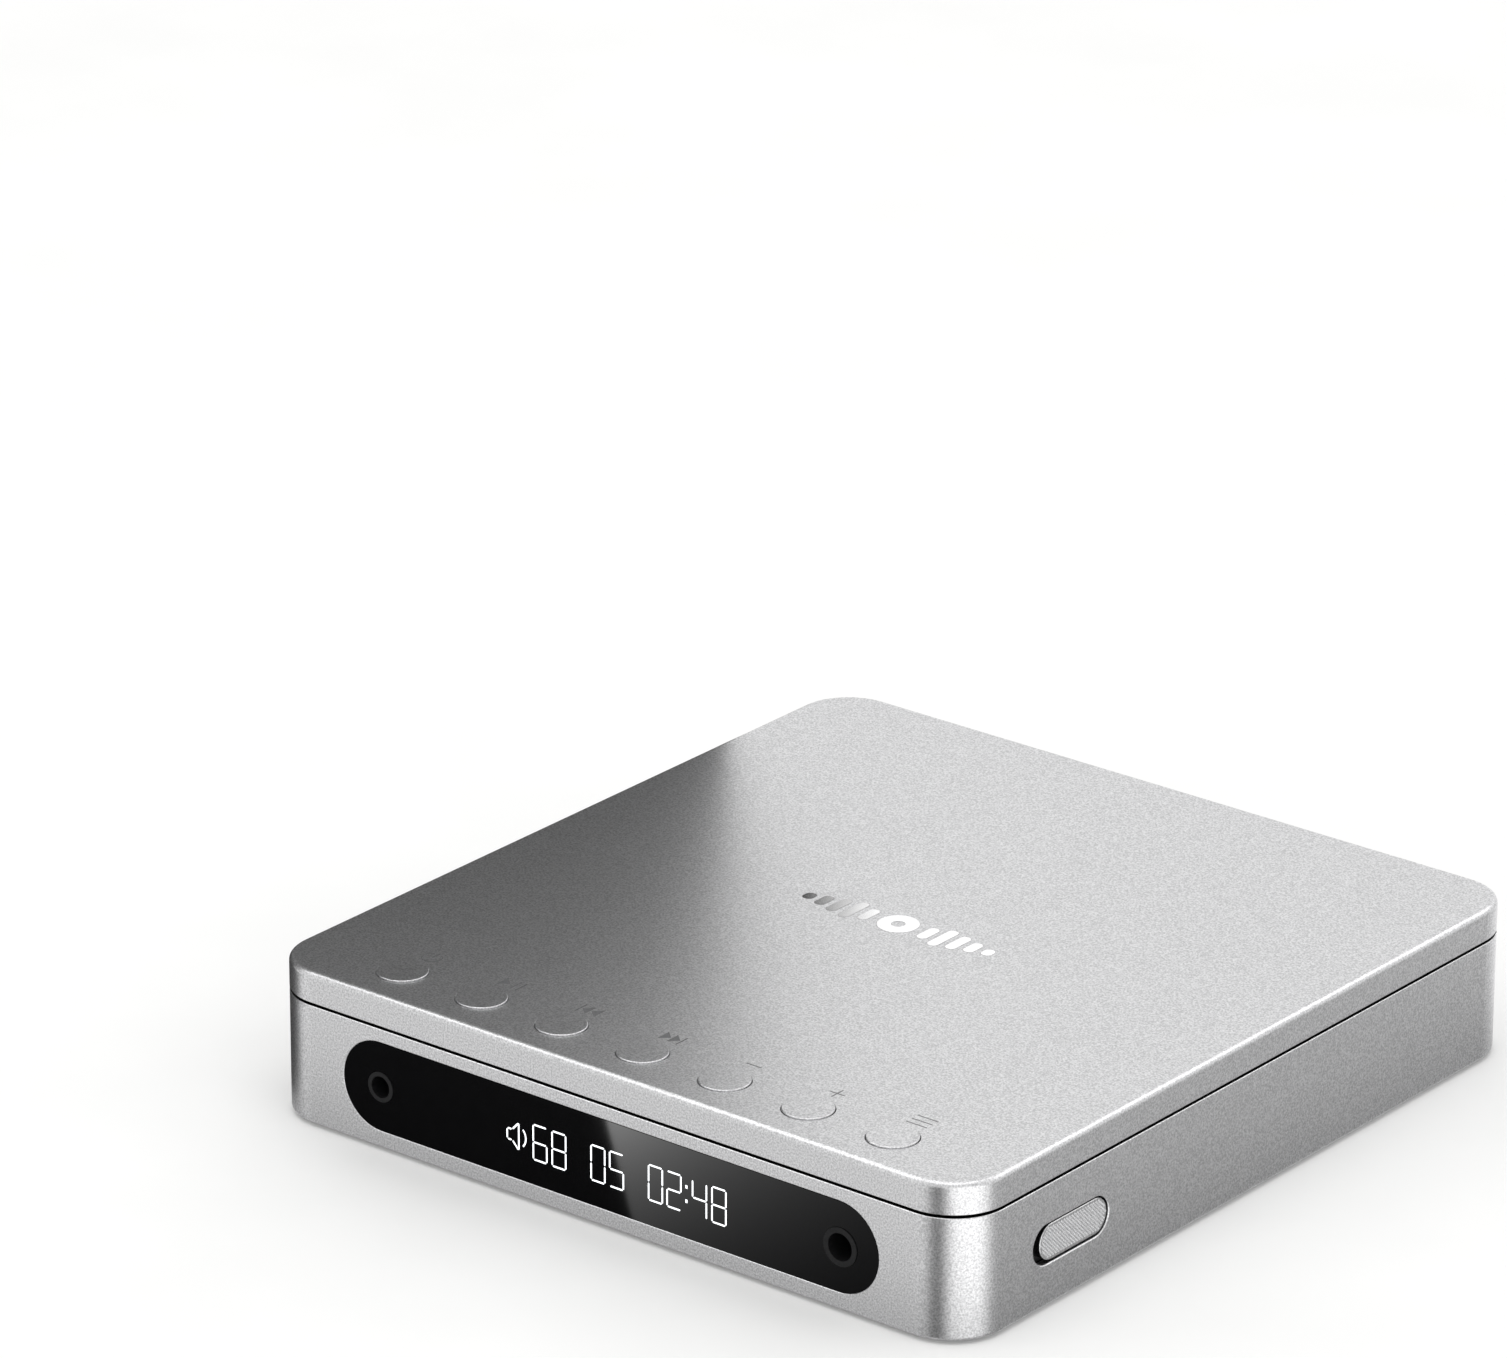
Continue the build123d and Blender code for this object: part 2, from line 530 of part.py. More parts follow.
with BuildPart() as grip_balls:
    with Locations((0, 0, DISC_Z + 1.1)):
        with PolarLocations(BALL_RING, 3, start_angle=90):
            Sphere(BALL_R)
grip_balls.part.label = "grip_balls"
export_step(grip_balls.part, "parts/grip_balls.step")

with BuildPart() as guide_rods:
    with BuildSketch(Plane.YZ.offset(12.3)):
        with Locations((-ROD_Y, ROD_Z), (ROD_Y, ROD_Z)):
            Circle(ROD_R)
    extrude(amount=53)
guide_rods.part.label = "guide_rods"
export_step(guide_rods.part, "parts/guide_rods.step")

with BuildPart() as sled_motor:
    with BuildSketch(Plane.YZ.offset(-7)):
        with Locations((SCREW_Y, ROD_Z)):
            Circle(3.2)
    extrude(amount=17)
    with BuildSketch(Plane.YZ.offset(9)):
        with Locations((SCREW_Y, ROD_Z)):
            Circle(1.2)
    extrude(amount=2)
sled_motor.part.label = "sled_motor"
export_step(sled_motor.part, "parts/sled_motor.step")

with BuildPart() as lead_screw:
    with BuildSketch(Plane.YZ.offset(11.4)):
        with Locations((SCREW_Y, ROD_Z)):
            Circle(SCREW_R)
    extrude(amount=52)
    with BuildSketch(Plane.YZ.offset(63)):
        with Locations((SCREW_Y, ROD_Z)):
            Circle(0.6)
    extrude(amount=2.2)
    # shallow rings stand in for the thread
    for k in range(34):
        with BuildSketch(Plane.YZ.offset(12.4 + 1.5 * k)):
            with Locations((SCREW_Y, ROD_Z)):
                Circle(SCREW_R + 0.1)
                Circle(SCREW_R - 0.3, mode=Mode.SUBTRACT)
        extrude(amount=0.6, mode=Mode.SUBTRACT)
lead_screw.part.label = "lead_screw"
export_step(lead_screw.part, "parts/lead_screw.step")

with BuildPart() as pickup_sled:
    with Locations((LENS_IN, 0, (SLED_Z0 + SLED_Z1) / 2)):
        Box(SLED_L, SLED_W, SLED_Z1 - SLED_Z0)
    with Locations((LENS_IN, (SLED_W / 2 + SCREW_Y + 1.5) / 2, SLED_Z1 - 0.55)):
        Box(6.0, SCREW_Y + 1.5 - SLED_W / 2 + 0.2, 1.1)
    with Locations((LENS_IN, 0, SLED_Z1)):
        Box(9.0, 16.0, 2.0, mode=Mode.SUBTRACT)
    with BuildSketch(Plane.YZ.offset(LENS_IN - SLED_L)):
        with Locations((-ROD_Y, ROD_Z), (ROD_Y, ROD_Z)):
            Circle(ROD_R + RUN)
    extrude(amount=2 * SLED_L, mode=Mode.SUBTRACT)
pickup_sled.part.label = "pickup_sled"
export_step(pickup_sled.part, "parts/pickup_sled.step")

with BuildPart() as pickup_lens:
    with Locations((LENS_IN, 0, SLED_Z1 - 0.98 + 0.5)):
        Box(7.5, 12.0, 1.0)
    with BuildSketch(Plane.XY.offset(SLED_Z1)):
        with Locations((LENS_IN, 0)):
            Circle(2.8)
    extrude(amount=1.1)
    with BuildSketch(Plane.XY.offset(SLED_Z1 + 1.1)):
        with Locations((LENS_IN, 0)):
            Circle(2.0)
    extrude(amount=0.35)
    fillet(pickup_lens.faces().sort_by(Axis.Z)[-1].edges(), 0.3)
pickup_lens.part.label = "pickup_lens"
export_step(pickup_lens.part, "parts/pickup_lens.step")

# ================= release slider ==========================================
KNOB_Y = SLOT_Y + SLOT_L / 2 - SL_GAP - SL_KNOB_L / 2
with BuildPart() as open_slider:
    with BuildSketch(Plane.YZ.offset(HX - SL_SUNK)):
        with Locations((KNOB_Y, SLOT_Z)):
            SlotOverall(SL_KNOB_L, SL_KNOB_H)
    extrude(amount=-(WALL + 0.3))
    chamfer(open_slider.faces().sort_by(Axis.X)[-1].edges(), BREAK)
    with Locations((IX - 0.2 - CATCH_T / 2, KNOB_Y, SLOT_Z)):
        Box(CATCH_T, SL_KNOB_L + 5.0, 8.4)
    with Locations((IX - 0.2 - CATCH_T / 2, CATCH_Y, (SLOT_Z + CATCH_Z + CATCH_T) / 2)):
        Box(CATCH_T, CATCH_W, CATCH_Z + CATCH_T - SLOT_Z)
    with Locations((CATCH_X + 0.6, CATCH_Y, CATCH_Z + CATCH_T / 2)):
        Box(3.8, CATCH_W, CATCH_T)
    with Locations((CATCH_X, CATCH_Y + CATCH_W / 2 + 0.1, CATCH_Z + CATCH_T / 2)):
        Box(2.6, 1.6, CATCH_T)
open_slider.part.label = "open_slider"
export_step(open_slider.part, "parts/open_slider.step")

# ================= battery =================================================
with BuildPart() as battery_door:
    with BuildSketch(Plane.YZ.offset(DOOR_X0 + DOOR_GAP)):
        with BuildLine():
            Polyline((HY, Z0), (HY, DOOR_TOP - DOOR_GAP), (IY, DOOR_TOP - DOOR_GAP), (IY, Z0 + FLOOR - 0.05),
                     (HY - DOOR_DEEP + DOOR_GAP, Z0 + FLOOR - 0.05), (HY - DOOR_DEEP + DOOR_GAP, Z0),
                     close=True)
        make_face()
    extrude(amount=DOOR_X1 - DOOR_X0 - 2 * DOOR_GAP)
    fillet(battery_door.edges().filter_by(Axis.Y).group_by(Axis.Z)[-1], 0.85)
    fillet(battery_door.edges().filter_by(Axis.X).filter_by_position(Axis.Y, HY - 0.1, HY + 0.1)
           .group_by(Axis.Z)[0], EDGE_R)
battery_door.part.label = "battery_door"
export_step(battery_door.part, "parts/battery_door.step")

with BuildPart() as battery_pack:
    with Locations((BAT_X, IY - 0.02 - BAT_L / 2, IN_Z + 0.1 + BAT_H / 2)):
        Box(BAT_W, BAT_L, BAT_H)
    fillet(battery_pack.edges().filter_by(Axis.Y), 1.0)
    with Locations(*[(BAT_X + dx, IY - BAT_L, IN_Z + 4.4) for dx in (-6, -2, 2, 6)]):
        Box(2.0, 0.8, 3.4, mode=Mode.SUBTRACT)
battery_pack.part.label = "battery_pack"
export_step(battery_pack.part, "parts/battery_pack.step")

# ================= lid =====================================================
LID_BOSSES = [(s * (HX - 7.5), y) for s in (-1, 1) for y in (-HY / 2, HY - 32)]
LID_BOSSES += [(0, HY - 18), (0, -HY + 18)]
with BuildPart() as lid:
    with BuildSketch(Plane.XY.offset(LID_Z)):
        RectangleRounded(W, D, CORNER)
    extrude(amount=TOP - LID_Z)
    fillet(lid.faces().sort_by(Axis.Z)[-1].edges(), TOP_R)
    chamfer(lid.faces().sort_by(Axis.Z)[0].edges(), BREAK)
    with BuildSketch(Plane.XY.offset(LID_Z)):
        RectangleRounded(2 * IX, 2 * IY, CORNER - WALL)
    extrude(amount=TOP - LID_PLATE - LID_Z, mode=Mode.SUBTRACT)
    # relief inside the skirt's lower edge so that it clears the base while turning
    with BuildSketch(Plane.XY.offset(LID_Z)):
        RectangleRounded(2 * IX + 0.8, 2 * IY + 0.8, CORNER - WALL + 0.4)
    extrude(amount=0.45, mode=Mode.SUBTRACT)
    # key holes
    with BuildSketch(Plane.XY.offset(TOP + 1)):
        with Locations(*KEY_SPOTS):
            Circle(KEY_R + KEY_GAP)
    extrude(amount=-(LID_PLATE + 2), mode=Mode.SUBTRACT)
    chamfer(lid.edges().filter_by(GeomType.CIRCLE)
            .filter_by_position(Axis.Z, TOP - 0.01, TOP + 0.01), KEY_BREAK)
    # shallow pockets for the inlay
    with BuildSketch(Plane.XY.offset(TOP + 1)):
        Circle(INLAY_R + GAP)
        Circle(INLAY_HOLE_R - GAP, mode=Mode.SUBTRACT)
        for x, h in INLAY_BARS:
            with Locations((x, 0)):
                RectangleRounded(INLAY_BAR_W + 2 * GAP, h + 2 * GAP, INLAY_BAR_W / 2 - 0.05)
    extrude(amount=-1 - INLAY_DEEP, mode=Mode.SUBTRACT)
    # bosses for the inner panel
    with BuildSketch(Plane.XY.offset(LID_Z + 1.0)):
        with Locations(*LID_BOSSES):
            Circle(BOSS_R)
    extrude(amount=TOP - LID_PLATE - LID_Z - 0.9)
lid.part.label = "lid"
export_step(lid.part, "parts/lid.step")

with BuildPart() as lid_emblem:
    with BuildSketch(Plane.XY.offset(TOP - INLAY_DEEP + 0.03)):
        Circle(INLAY_R)
        Circle(INLAY_HOLE_R, mode=Mode.SUBTRACT)
        for x, h in INLAY_BARS:
            with Locations((x, 0)):
                RectangleRounded(INLAY_BAR_W, h, INLAY_BAR_W / 2 - 0.1)
    extrude(amount=INLAY_DEEP - 0.01)
lid_emblem.part.label = "lid_emblem"
export_step(lid_emblem.part, "parts/lid_emblem.step")

PANEL_Z = LID_Z + 0.15
PANEL_BACK = PIV_Y + STEM_BACK - STEM_T - 0.8
with BuildPart() as lid_panel:
    with BuildSketch(Plane.XY.offset(PANEL_Z)):
        RectangleRounded(2 * IX - 0.4, 2 * IY - 0.4, CORNER - WALL - 0.2)
        with Locations((0, PANEL_BACK + 20)):
            Rectangle(2 * HX, 40, mode=Mode.SUBTRACT)
        with Locations((CATCH_X - 0.2, (LATCH_Y0 + LATCH_Y1) / 2)):
            Rectangle(7.0, LATCH_Y1 - LATCH_Y0, mode=Mode.SUBTRACT)
    extrude(amount=0.8)
    # shallow dish that presses nothing but steadies the disc's centre
    with BuildSketch(Plane.XY.offset(PANEL_Z)):
        Circle(16)
        Circle(13, mode=Mode.SUBTRACT)
    extrude(amount=-0.5)
    with BuildSketch(Plane.XY.offset(PANEL_Z - 1)):
        with Locations(*LID_BOSSES):
            Circle(0.7)
    extrude(amount=3, mode=Mode.SUBTRACT)
lid_panel.part.label = "lid_panel"
export_step(lid_panel.part, "parts/lid_panel.step")

KB_Z = PANEL_Z + 0.9
with BuildPart() as key_board:
    with Locations((0, KEY_Y, KB_Z + 0.4)):
        Box(112, 11.0, 0.8)
    with BuildSketch(Plane.XY.offset(KB_Z + 0.7)):
        with Locations(*KEY_SPOTS):
            Circle(2.2)
    extrude(amount=0.6)
key_board.part.label = "key_board"
export_step(key_board.part, "parts/key_board.step")

for label, s in [("left", -1), ("right", 1)]:
    with BuildPart() as arm:
        with BuildSketch(Plane.YZ.offset(s * (ARM_X - ARM_W / 2))):
            with Locations((PIV_Y, PIV_Z)):
                Circle(EYE_R)
            with Locations((PIV_Y + (STEM_BACK - STEM_T) / 2, PIV_Z)):
                Rectangle(STEM_T - STEM_BACK, 2 * EYE_R)
            with Locations((PIV_Y + STEM_BACK - STEM_T / 2, (PIV_Z + TOP - LID_PLATE - 0.02) / 2)):
                Rectangle(STEM_T, TOP - LID_PLATE - 0.02 - PIV_Z)
            with Locations((PIV_Y, PIV_Z)):
                Circle(PIN_R + RUN, mode=Mode.SUBTRACT)
        extrude(amount=s * ARM_W)
        with Locations((s * (ARM_X - 2.6), PIV_Y + STEM_BACK - 7.5, TOP - LID_PLATE - 0.72)):
            Box(ARM_W + 5.2, 15.0, 1.4)
    arm.part.label = "hinge_arm_" + label
    export_step(arm.part, "parts/hinge_arm_" + label + ".step")

with BuildPart() as latch_hook:
    with Locations((CATCH_X, HOOK_Y - 0.6, TOP - LID_PLATE - 0.52)):
        Box(3.0, 9.0, 1.0)
    hook_low = CATCH_Z - 1.4
    with Locations((CATCH_X, HOOK_Y, (hook_low + TOP - LID_PLATE - 0.1) / 2)):
        Box(2.6, 1.6, TOP - LID_PLATE - 0.1 - hook_low)
    with Locations((CATCH_X, HOOK_Y - 1.2, hook_low + 0.5)):
        Box(2.6, 1.7, 1.0)
latch_hook.part.label = "latch_hook"
export_step(latch_hook.part, "parts/latch_hook.step")

with BuildPart() as lid_bumpers:
    with BuildSketch(Plane.XY.offset(PANEL_Z - 0.02)):
        with Locations((HX - 7.5, -HY + 11), (-HX + 7.5, -HY + 11), (0, -IY + 1.4)):
            Circle(1.2)
    extrude(amount=-(PANEL_Z - DECK_TOP - 0.12))
lid_bumpers.part.label = "lid_bumpers"
export_step(lid_bumpers.part, "parts/lid_bumpers.step")

# keys: turned aluminium caps with a flange under the lid plate
for key, spot in zip(KEYS, KEY_SPOTS):
    with BuildPart() as cap:
        with BuildSketch(Plane.XY.offset(TOP - LID_PLATE - 0.1)):
            with Locations(spot):
                Circle(KEY_R)
        extrude(amount=LID_PLATE + 0.1 + KEY_PROUD)
        fillet(cap.faces().sort_by(Axis.Z)[-1].edges(), 0.12)
        with BuildSketch(Plane.XY.offset(TOP - LID_PLATE - KEY_FLANGE_T - GAP)):
            with Locations(spot):
                Circle(KEY_R + KEY_FLANGE)
        extrude(amount=KEY_FLANGE_T)
    cap.part.label = "button_" + key
    export_step(cap.part, "parts/button_" + key + ".step")
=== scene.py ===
"""Portable disc player with headphone converter: materials, printed marks, display and studio."""
import math

import bmesh
import bpy
from mathutils import Matrix, Vector


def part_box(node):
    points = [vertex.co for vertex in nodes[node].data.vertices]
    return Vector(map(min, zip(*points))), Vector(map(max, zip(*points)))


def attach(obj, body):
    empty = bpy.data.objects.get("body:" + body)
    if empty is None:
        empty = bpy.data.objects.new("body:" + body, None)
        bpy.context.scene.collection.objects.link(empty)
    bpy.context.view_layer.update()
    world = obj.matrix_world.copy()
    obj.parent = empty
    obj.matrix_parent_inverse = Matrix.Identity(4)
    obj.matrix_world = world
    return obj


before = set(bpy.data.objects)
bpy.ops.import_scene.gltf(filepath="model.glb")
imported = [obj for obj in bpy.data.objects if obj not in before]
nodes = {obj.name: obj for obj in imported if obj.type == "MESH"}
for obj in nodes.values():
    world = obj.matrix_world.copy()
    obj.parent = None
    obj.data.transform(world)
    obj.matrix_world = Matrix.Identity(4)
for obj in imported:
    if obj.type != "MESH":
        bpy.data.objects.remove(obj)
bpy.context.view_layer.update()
MM = 0.001


# ---- Case -----------------------------------------------------------------
# Base tub, lid and battery door are milled from aluminium alloy, bead-blasted
# with fine glass beads and clear anodised. That gives an even, soft grey
# metal with a fine sparkle of grain and no direction to it.

def colour(code):
    """An sRGB hex colour as linear RGBA."""
    parts = [int(code[i:i + 2], 16) / 255 for i in (1, 3, 5)]
    return [c / 12.92 if c <= 0.04045 else ((c + 0.055) / 1.055) ** 2.4 for c in parts] + [1.0]


def add(tree, kind, settings=None, **inputs):
    """Adds a node, with its settings, and its inputs as values or as links from other sockets."""
    made = tree.nodes.new(kind)
    for key, value in (settings or {}).items():
        setattr(made, key, value)
    for key, value in inputs.items():
        name = key.replace("_", " ")
        found = made.inputs[int(name[1:])] if name[0] == "i" and name[1:].isdigit() else made.inputs[name]
        if isinstance(value, bpy.types.NodeSocket):
            tree.links.new(value, found)
        else:
            found.default_value = value
    return made


def material(name, **values):
    """A named material with its shader's own values set. Returns it with its node tree and shader."""
    made = bpy.data.materials.new(name)
    made.use_nodes = True
    tree = made.node_tree
    shader = tree.nodes["Principled BSDF"]
    for key, value in values.items():
        shader.inputs[key.replace("_", " ")].default_value = value
    return made, tree, shader


def mottled(tree, shader, dark, light, size_mm, low=0.35, high=0.65, detail=3.0):
    """Lets a noise of about that size swing the base colour between two shades. Returns the noise."""
    place = add(tree, "ShaderNodeTexCoord")
    noise = add(tree, "ShaderNodeTexNoise", Vector=place.outputs["Object"], Scale=1 / (size_mm * MM),
                Detail=detail, Roughness=0.6)
    shades = add(tree, "ShaderNodeMapRange", i0=noise.outputs["Fac"], i1=low, i2=high)
    mix = add(tree, "ShaderNodeMix", {"data_type": "RGBA"}, i0=shades.outputs["Result"],
              i6=colour(dark), i7=colour(light))
    tree.links.new(mix.outputs[2], shader.inputs["Base Color"])
    return noise


def bumped(tree, shader, height, depth_mm, strength=1.0):
    """Bump from a height between 0 and 1, depth_mm deep at 1."""
    bump = add(tree, "ShaderNodeBump", Height=height, Distance=depth_mm * MM, Strength=strength)
    tree.links.new(bump.outputs["Normal"], shader.inputs["Normal"])


def dress(made, *names):
    """Gives CAD nodes a material, in every slot that they have."""
    for name in names:
        for slot in nodes[name].material_slots:
            slot.link = "DATA"
            slot.material = made


GRAIN_MM = 0.30     # the real grain is about 0.05 mm; drawn coarser so that it shows


def blasted_aluminium(name, dark, light, rough):
    """Blasted and anodised alloy: a soft, even metal whose grain breaks up the highlights."""
    made, tree, shader = material(name, Metallic=1.0, Roughness=rough)
    noise = mottled(tree, shader, dark, light, GRAIN_MM, 0.36, 0.64, 2.0)
    bumped(tree, shader, noise.outputs["Fac"], 0.02, 0.5)
    return made, tree, shader


def math_node(tree, operation, a, b=0.0):
    """The result socket of a sum on one or two values or sockets."""
    return add(tree, "ShaderNodeMath", {"operation": operation}, i0=a, i1=b).outputs[0]


def painted_shade_black(tree, shader, mask):
    """Painted shade: turns the metal to matt black where the mask is 1, in place of the shade that falls
    there.
    """
    metal = shader.inputs["Base Color"].links[0].from_socket
    mix = add(tree, "ShaderNodeMix", {"data_type": "RGBA"}, i0=mask, i6=metal, i7=colour("#0B0B0C"))
    tree.links.new(mix.outputs[2], shader.inputs["Base Color"])
    tree.links.new(math_node(tree, "SUBTRACT", 1.0, mask), shader.inputs["Metallic"])


case_metal, tree, shader = blasted_aluminium("anodised_aluminium", "#C0C0C1", "#ECECED", 0.37)
# painted shade: the flats of both rims, inside the seam, are painted black for the shadow in the gap between
# base and lid
rim_z, seam_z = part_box("base_shell")[1].z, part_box("lid")[0].z
place = add(tree, "ShaderNodeTexCoord")
height = add(tree, "ShaderNodeSeparateXYZ", Vector=place.outputs["Object"]).outputs["Z"]
tilt = add(tree, "ShaderNodeSeparateXYZ", Vector=place.outputs["Normal"]).outputs["Z"]
flat_face = math_node(tree, "GREATER_THAN", math_node(tree, "ABSOLUTE", tilt), 0.9)
seam_shade_band = math_node(tree, "COMPARE", height, (rim_z + seam_z) / 2)
seam_shade_band.node.inputs[2].default_value = 1.1 * MM
painted_shade_black(tree, shader, math_node(tree, "MULTIPLY", flat_face, seam_shade_band))
dress(case_metal, "base_shell", "lid", "battery_door")


# ---- Feet, bumpers, dampers -----------------------------------------------
# Moulded rubber: four feet glued into the underside, stops under the lid and
# soft mounts under the disc drive. Matt black, with a little dust-grey mottle.

rubber, tree, shader = material("moulded_rubber", Roughness=0.78)
noise = mottled(tree, shader, "#161616", "#242424", 0.8)
bumped(tree, shader, noise.outputs["Fac"], 0.02, 0.5)
dress(rubber, "foot_front_left", "foot_front_right", "foot_rear_left", "foot_rear_right",
      "lid_bumpers", "dampers")


# ---- Keys -----------------------------------------------------------------
# Seven turned aluminium caps, blasted and anodised like the lid, so that only
# the thin gap round each one shows.

key_metal, tree, shader = blasted_aluminium("anodised_key_caps", "#C0C0C1", "#ECECED", 0.36)
KEYS = ["power", "play_pause", "previous", "next", "volume_down", "volume_up", "menu"]
dress(key_metal, *["button_" + k for k in KEYS])


# ---- Key marks ------------------------------------------------------------
# Thin laser-darkened symbols behind the keys, flush with the lid: power,
# play and pause, back, forward, minus, plus and a three-bar menu.

laser_grey, tree, shader = material("laser_marking", Metallic=0.6, Roughness=0.5)
mottled(tree, shader, "#6E6E6F", "#7C7C7D", 0.4)


def plate(bm, points, base, rise, to_world):
    """A flat prism over a closed outline: base and rise are heights along the face's outward normal."""
    rings = []
    for h in (base, base + rise):
        rings.append([bm.verts.new(to_world(x, y, h)) for x, y in points])
    n = len(points)
    bm.faces.new(rings[0][::-1])
    bm.faces.new(rings[1])
    for i in range(n):
        j = (i + 1) % n
        bm.faces.new((rings[0][i], rings[0][j], rings[1][j], rings[1][i]))


def bar(x0, y0, x1, y1):
    """Outline of a rectangle from its low corner to its high corner."""
    return [(x0, y0), (x1, y0), (x1, y1), (x0, y1)]


def arc_band(cx, cy, r, width, start, stop, steps=28):
    """Outline of a band that follows an arc, angles in degrees."""
    angles = [math.radians(start + (stop - start) * i / steps) for i in range(steps + 1)]
    outer = [(cx + (r + width / 2) * math.cos(a), cy + (r + width / 2) * math.sin(a)) for a in angles]
    inner = [(cx + (r - width / 2) * math.cos(a), cy + (r - width / 2) * math.sin(a))
             for a in reversed(angles)]
    return outer + inner


def piece_of(bm, name, made, body):
    """Turns a finished bmesh into a piece that rides on a body."""
    bmesh.ops.recalc_face_normals(bm, faces=bm.faces)
    mesh = bpy.data.meshes.new(name)
    bm.to_mesh(mesh)
    bm.free()
    piece = bpy.data.objects.new(name, mesh)
    bpy.context.scene.collection.objects.link(piece)
    mesh.materials.append(made)
    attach(piece, body)


def marks(name, outlines, made, body, to_world, base=-0.004, rise=0.014):
    """One thin piece made of flat prisms, riding on a body. Sizes in mm."""
    bm = bmesh.new()
    for points in outlines:
        plate(bm, points, base, rise, lambda x, y, h: to_world(x, y, h) * MM)
    piece_of(bm, name, made, body)


LID_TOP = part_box("lid")[1].z / MM


def on_lid(x, y, h):
    """A place on the lid's top, h above it."""
    return Vector((x, y, LID_TOP + h))


LINE = 0.24                 # stroke of the symbols
TOUCH = 0.001               # gap between neighbouring strokes, so that none overlap
key_x = {k: (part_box("button_" + k)[0].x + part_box("button_" + k)[1].x) / 2 / MM for k in KEYS}
key_y = (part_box("button_menu")[0].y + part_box("button_menu")[1].y) / 2 / MM
MARK_Y = key_y + 7.0        # middle of the symbols' row
HALF = 1.45                 # half the symbols' height
MENU_HALF = 1.95            # half the length of the menu's three bars

symbols = []
for step in (-1.25, 0.1, 1.5):
    symbols.append(bar(key_x["menu"] - MENU_HALF, MARK_Y + step - LINE / 2,
                       key_x["menu"] + MENU_HALF, MARK_Y + step + LINE / 2))
x = key_x["volume_up"]
symbols.append(bar(x - HALF, MARK_Y - LINE / 2, x + HALF, MARK_Y + LINE / 2))
symbols.append(bar(x - LINE / 2, MARK_Y + LINE / 2 + TOUCH, x + LINE / 2, MARK_Y + HALF))
symbols.append(bar(x - LINE / 2, MARK_Y - HALF, x + LINE / 2, MARK_Y - LINE / 2 - TOUCH))
x = key_x["volume_down"]
symbols.append(bar(x - HALF, MARK_Y - LINE / 2, x + HALF, MARK_Y + LINE / 2))
POINT, STOP_BAR = 1.62, 1.95    # length of the arrowheads, place of the bar they run up to
for key, way in (("next", 1), ("previous", -1)):
    x = key_x[key]
    for base in (-1.75, 0.05):
        symbols.append([(x + way * base, MARK_Y - HALF), (x + way * (base + POINT), MARK_Y),
                        (x + way * base, MARK_Y + HALF)])
    stop = x + way * STOP_BAR
    symbols.append(bar(stop - LINE / 2, MARK_Y - HALF, stop + LINE / 2, MARK_Y + HALF))
x = key_x["play_pause"]
symbols.append([(x - 1.78, MARK_Y - HALF), (x - 1.78 + POINT, MARK_Y), (x - 1.78, MARK_Y + HALF)])
for dx in (0.9, 2.0):
    symbols.append(bar(x + dx - LINE / 2, MARK_Y - HALF, x + dx + LINE / 2, MARK_Y + HALF))
x = key_x["power"]
symbols.append(arc_band(x, MARK_Y, 1.6, LINE, 118, 422))
symbols.append(bar(x - LINE / 2, MARK_Y, x + LINE / 2, MARK_Y + 1.9))
marks("key_symbols", symbols, laser_grey, "lid", on_lid)


# ---- Lid inlay ------------------------------------------------------------
# A disc between two groups of sound bars, cut from stainless strip, polished
# to a mirror and bonded into shallow pockets in the lid.

mirror_steel, tree, shader = material("polished_steel_inlay", Metallic=1.0, Roughness=0.06)
noise = mottled(tree, shader, "#F0F0F0", "#F8F8F8", 6.0)
bumped(tree, shader, noise.outputs["Fac"], 0.02, 0.05)
dress(mirror_steel, "lid_emblem")


# ---- Display window --------------------------------------------------------
# One strip of smoked, hard-coated acrylic. It is black until the segments
# behind it light up, and takes sharp reflections.

window, tree, shader = material("smoked_acrylic", Roughness=0.025, IOR=1.49)
mottled(tree, shader, "#050506", "#070708", 3.0)
dress(window, "display_glass")

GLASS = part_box("display_glass")
FACE_Y = GLASS[0].y / MM
GLASS_Z = (GLASS[0].z + GLASS[1].z) / 2 / MM


# ---- Display segments ------------------------------------------------------
# White light-emitting segments: a speaker mark with the volume, the track
# number and the time played.

lit, tree, shader = material("lit_segments", Roughness=0.5, Emission_Strength=1.05)
mottled(tree, shader, "#F4F7F8", "#FFFFFF", 1.0)
shader.inputs["Base Color"].default_value = colour("#F4F7F8")
shader.inputs["Emission Color"].default_value = colour("#F6FAFF")

DIGIT_W, DIGIT_H, STROKE, BREAK = 2.95, 6.1, 0.28, 0.09
ON = {"0": "abcdef", "2": "abged", "4": "fgbc", "5": "afgcd", "6": "afgcde", "8": "abcdefg"}


def segment(x0, y0, x1, y1):
    """A lit bar with pointed ends, from one corner of the digit's frame to the next."""
    along = Vector((x1 - x0, y1 - y0)).normalized()
    side = Vector((-along.y, along.x)) * STROKE / 2
    a = Vector((x0, y0)) + along * BREAK
    b = Vector((x1, y1)) - along * BREAK
    tip = along * STROKE / 2
    return [tuple(p) for p in (a, a + tip - side, b - tip - side, b, b - tip + side, a + tip + side)]


def digit(char, x, low):
    """The lit segments of one digit, from its left edge and its foot."""
    w, h = DIGIT_W - STROKE, DIGIT_H - STROKE
    left, right = x + STROKE / 2, x + STROKE / 2 + w
    bottom, middle, top = low + STROKE / 2, low + STROKE / 2 + h / 2, low + STROKE / 2 + h
    ends = {"a": (left, top, right, top), "b": (right, top, right, middle),
            "c": (right, middle, right, bottom), "d": (left, bottom, right, bottom),
            "e": (left, bottom, left, middle), "f": (left, middle, left, top),
            "g": (left, middle, right, middle)}
    return [segment(*ends[s]) for s in ON[char]]


def on_front(x, y, h):
    """A place on the window's face, y up and h out of it."""
    return Vector((x, FACE_Y - h, y))


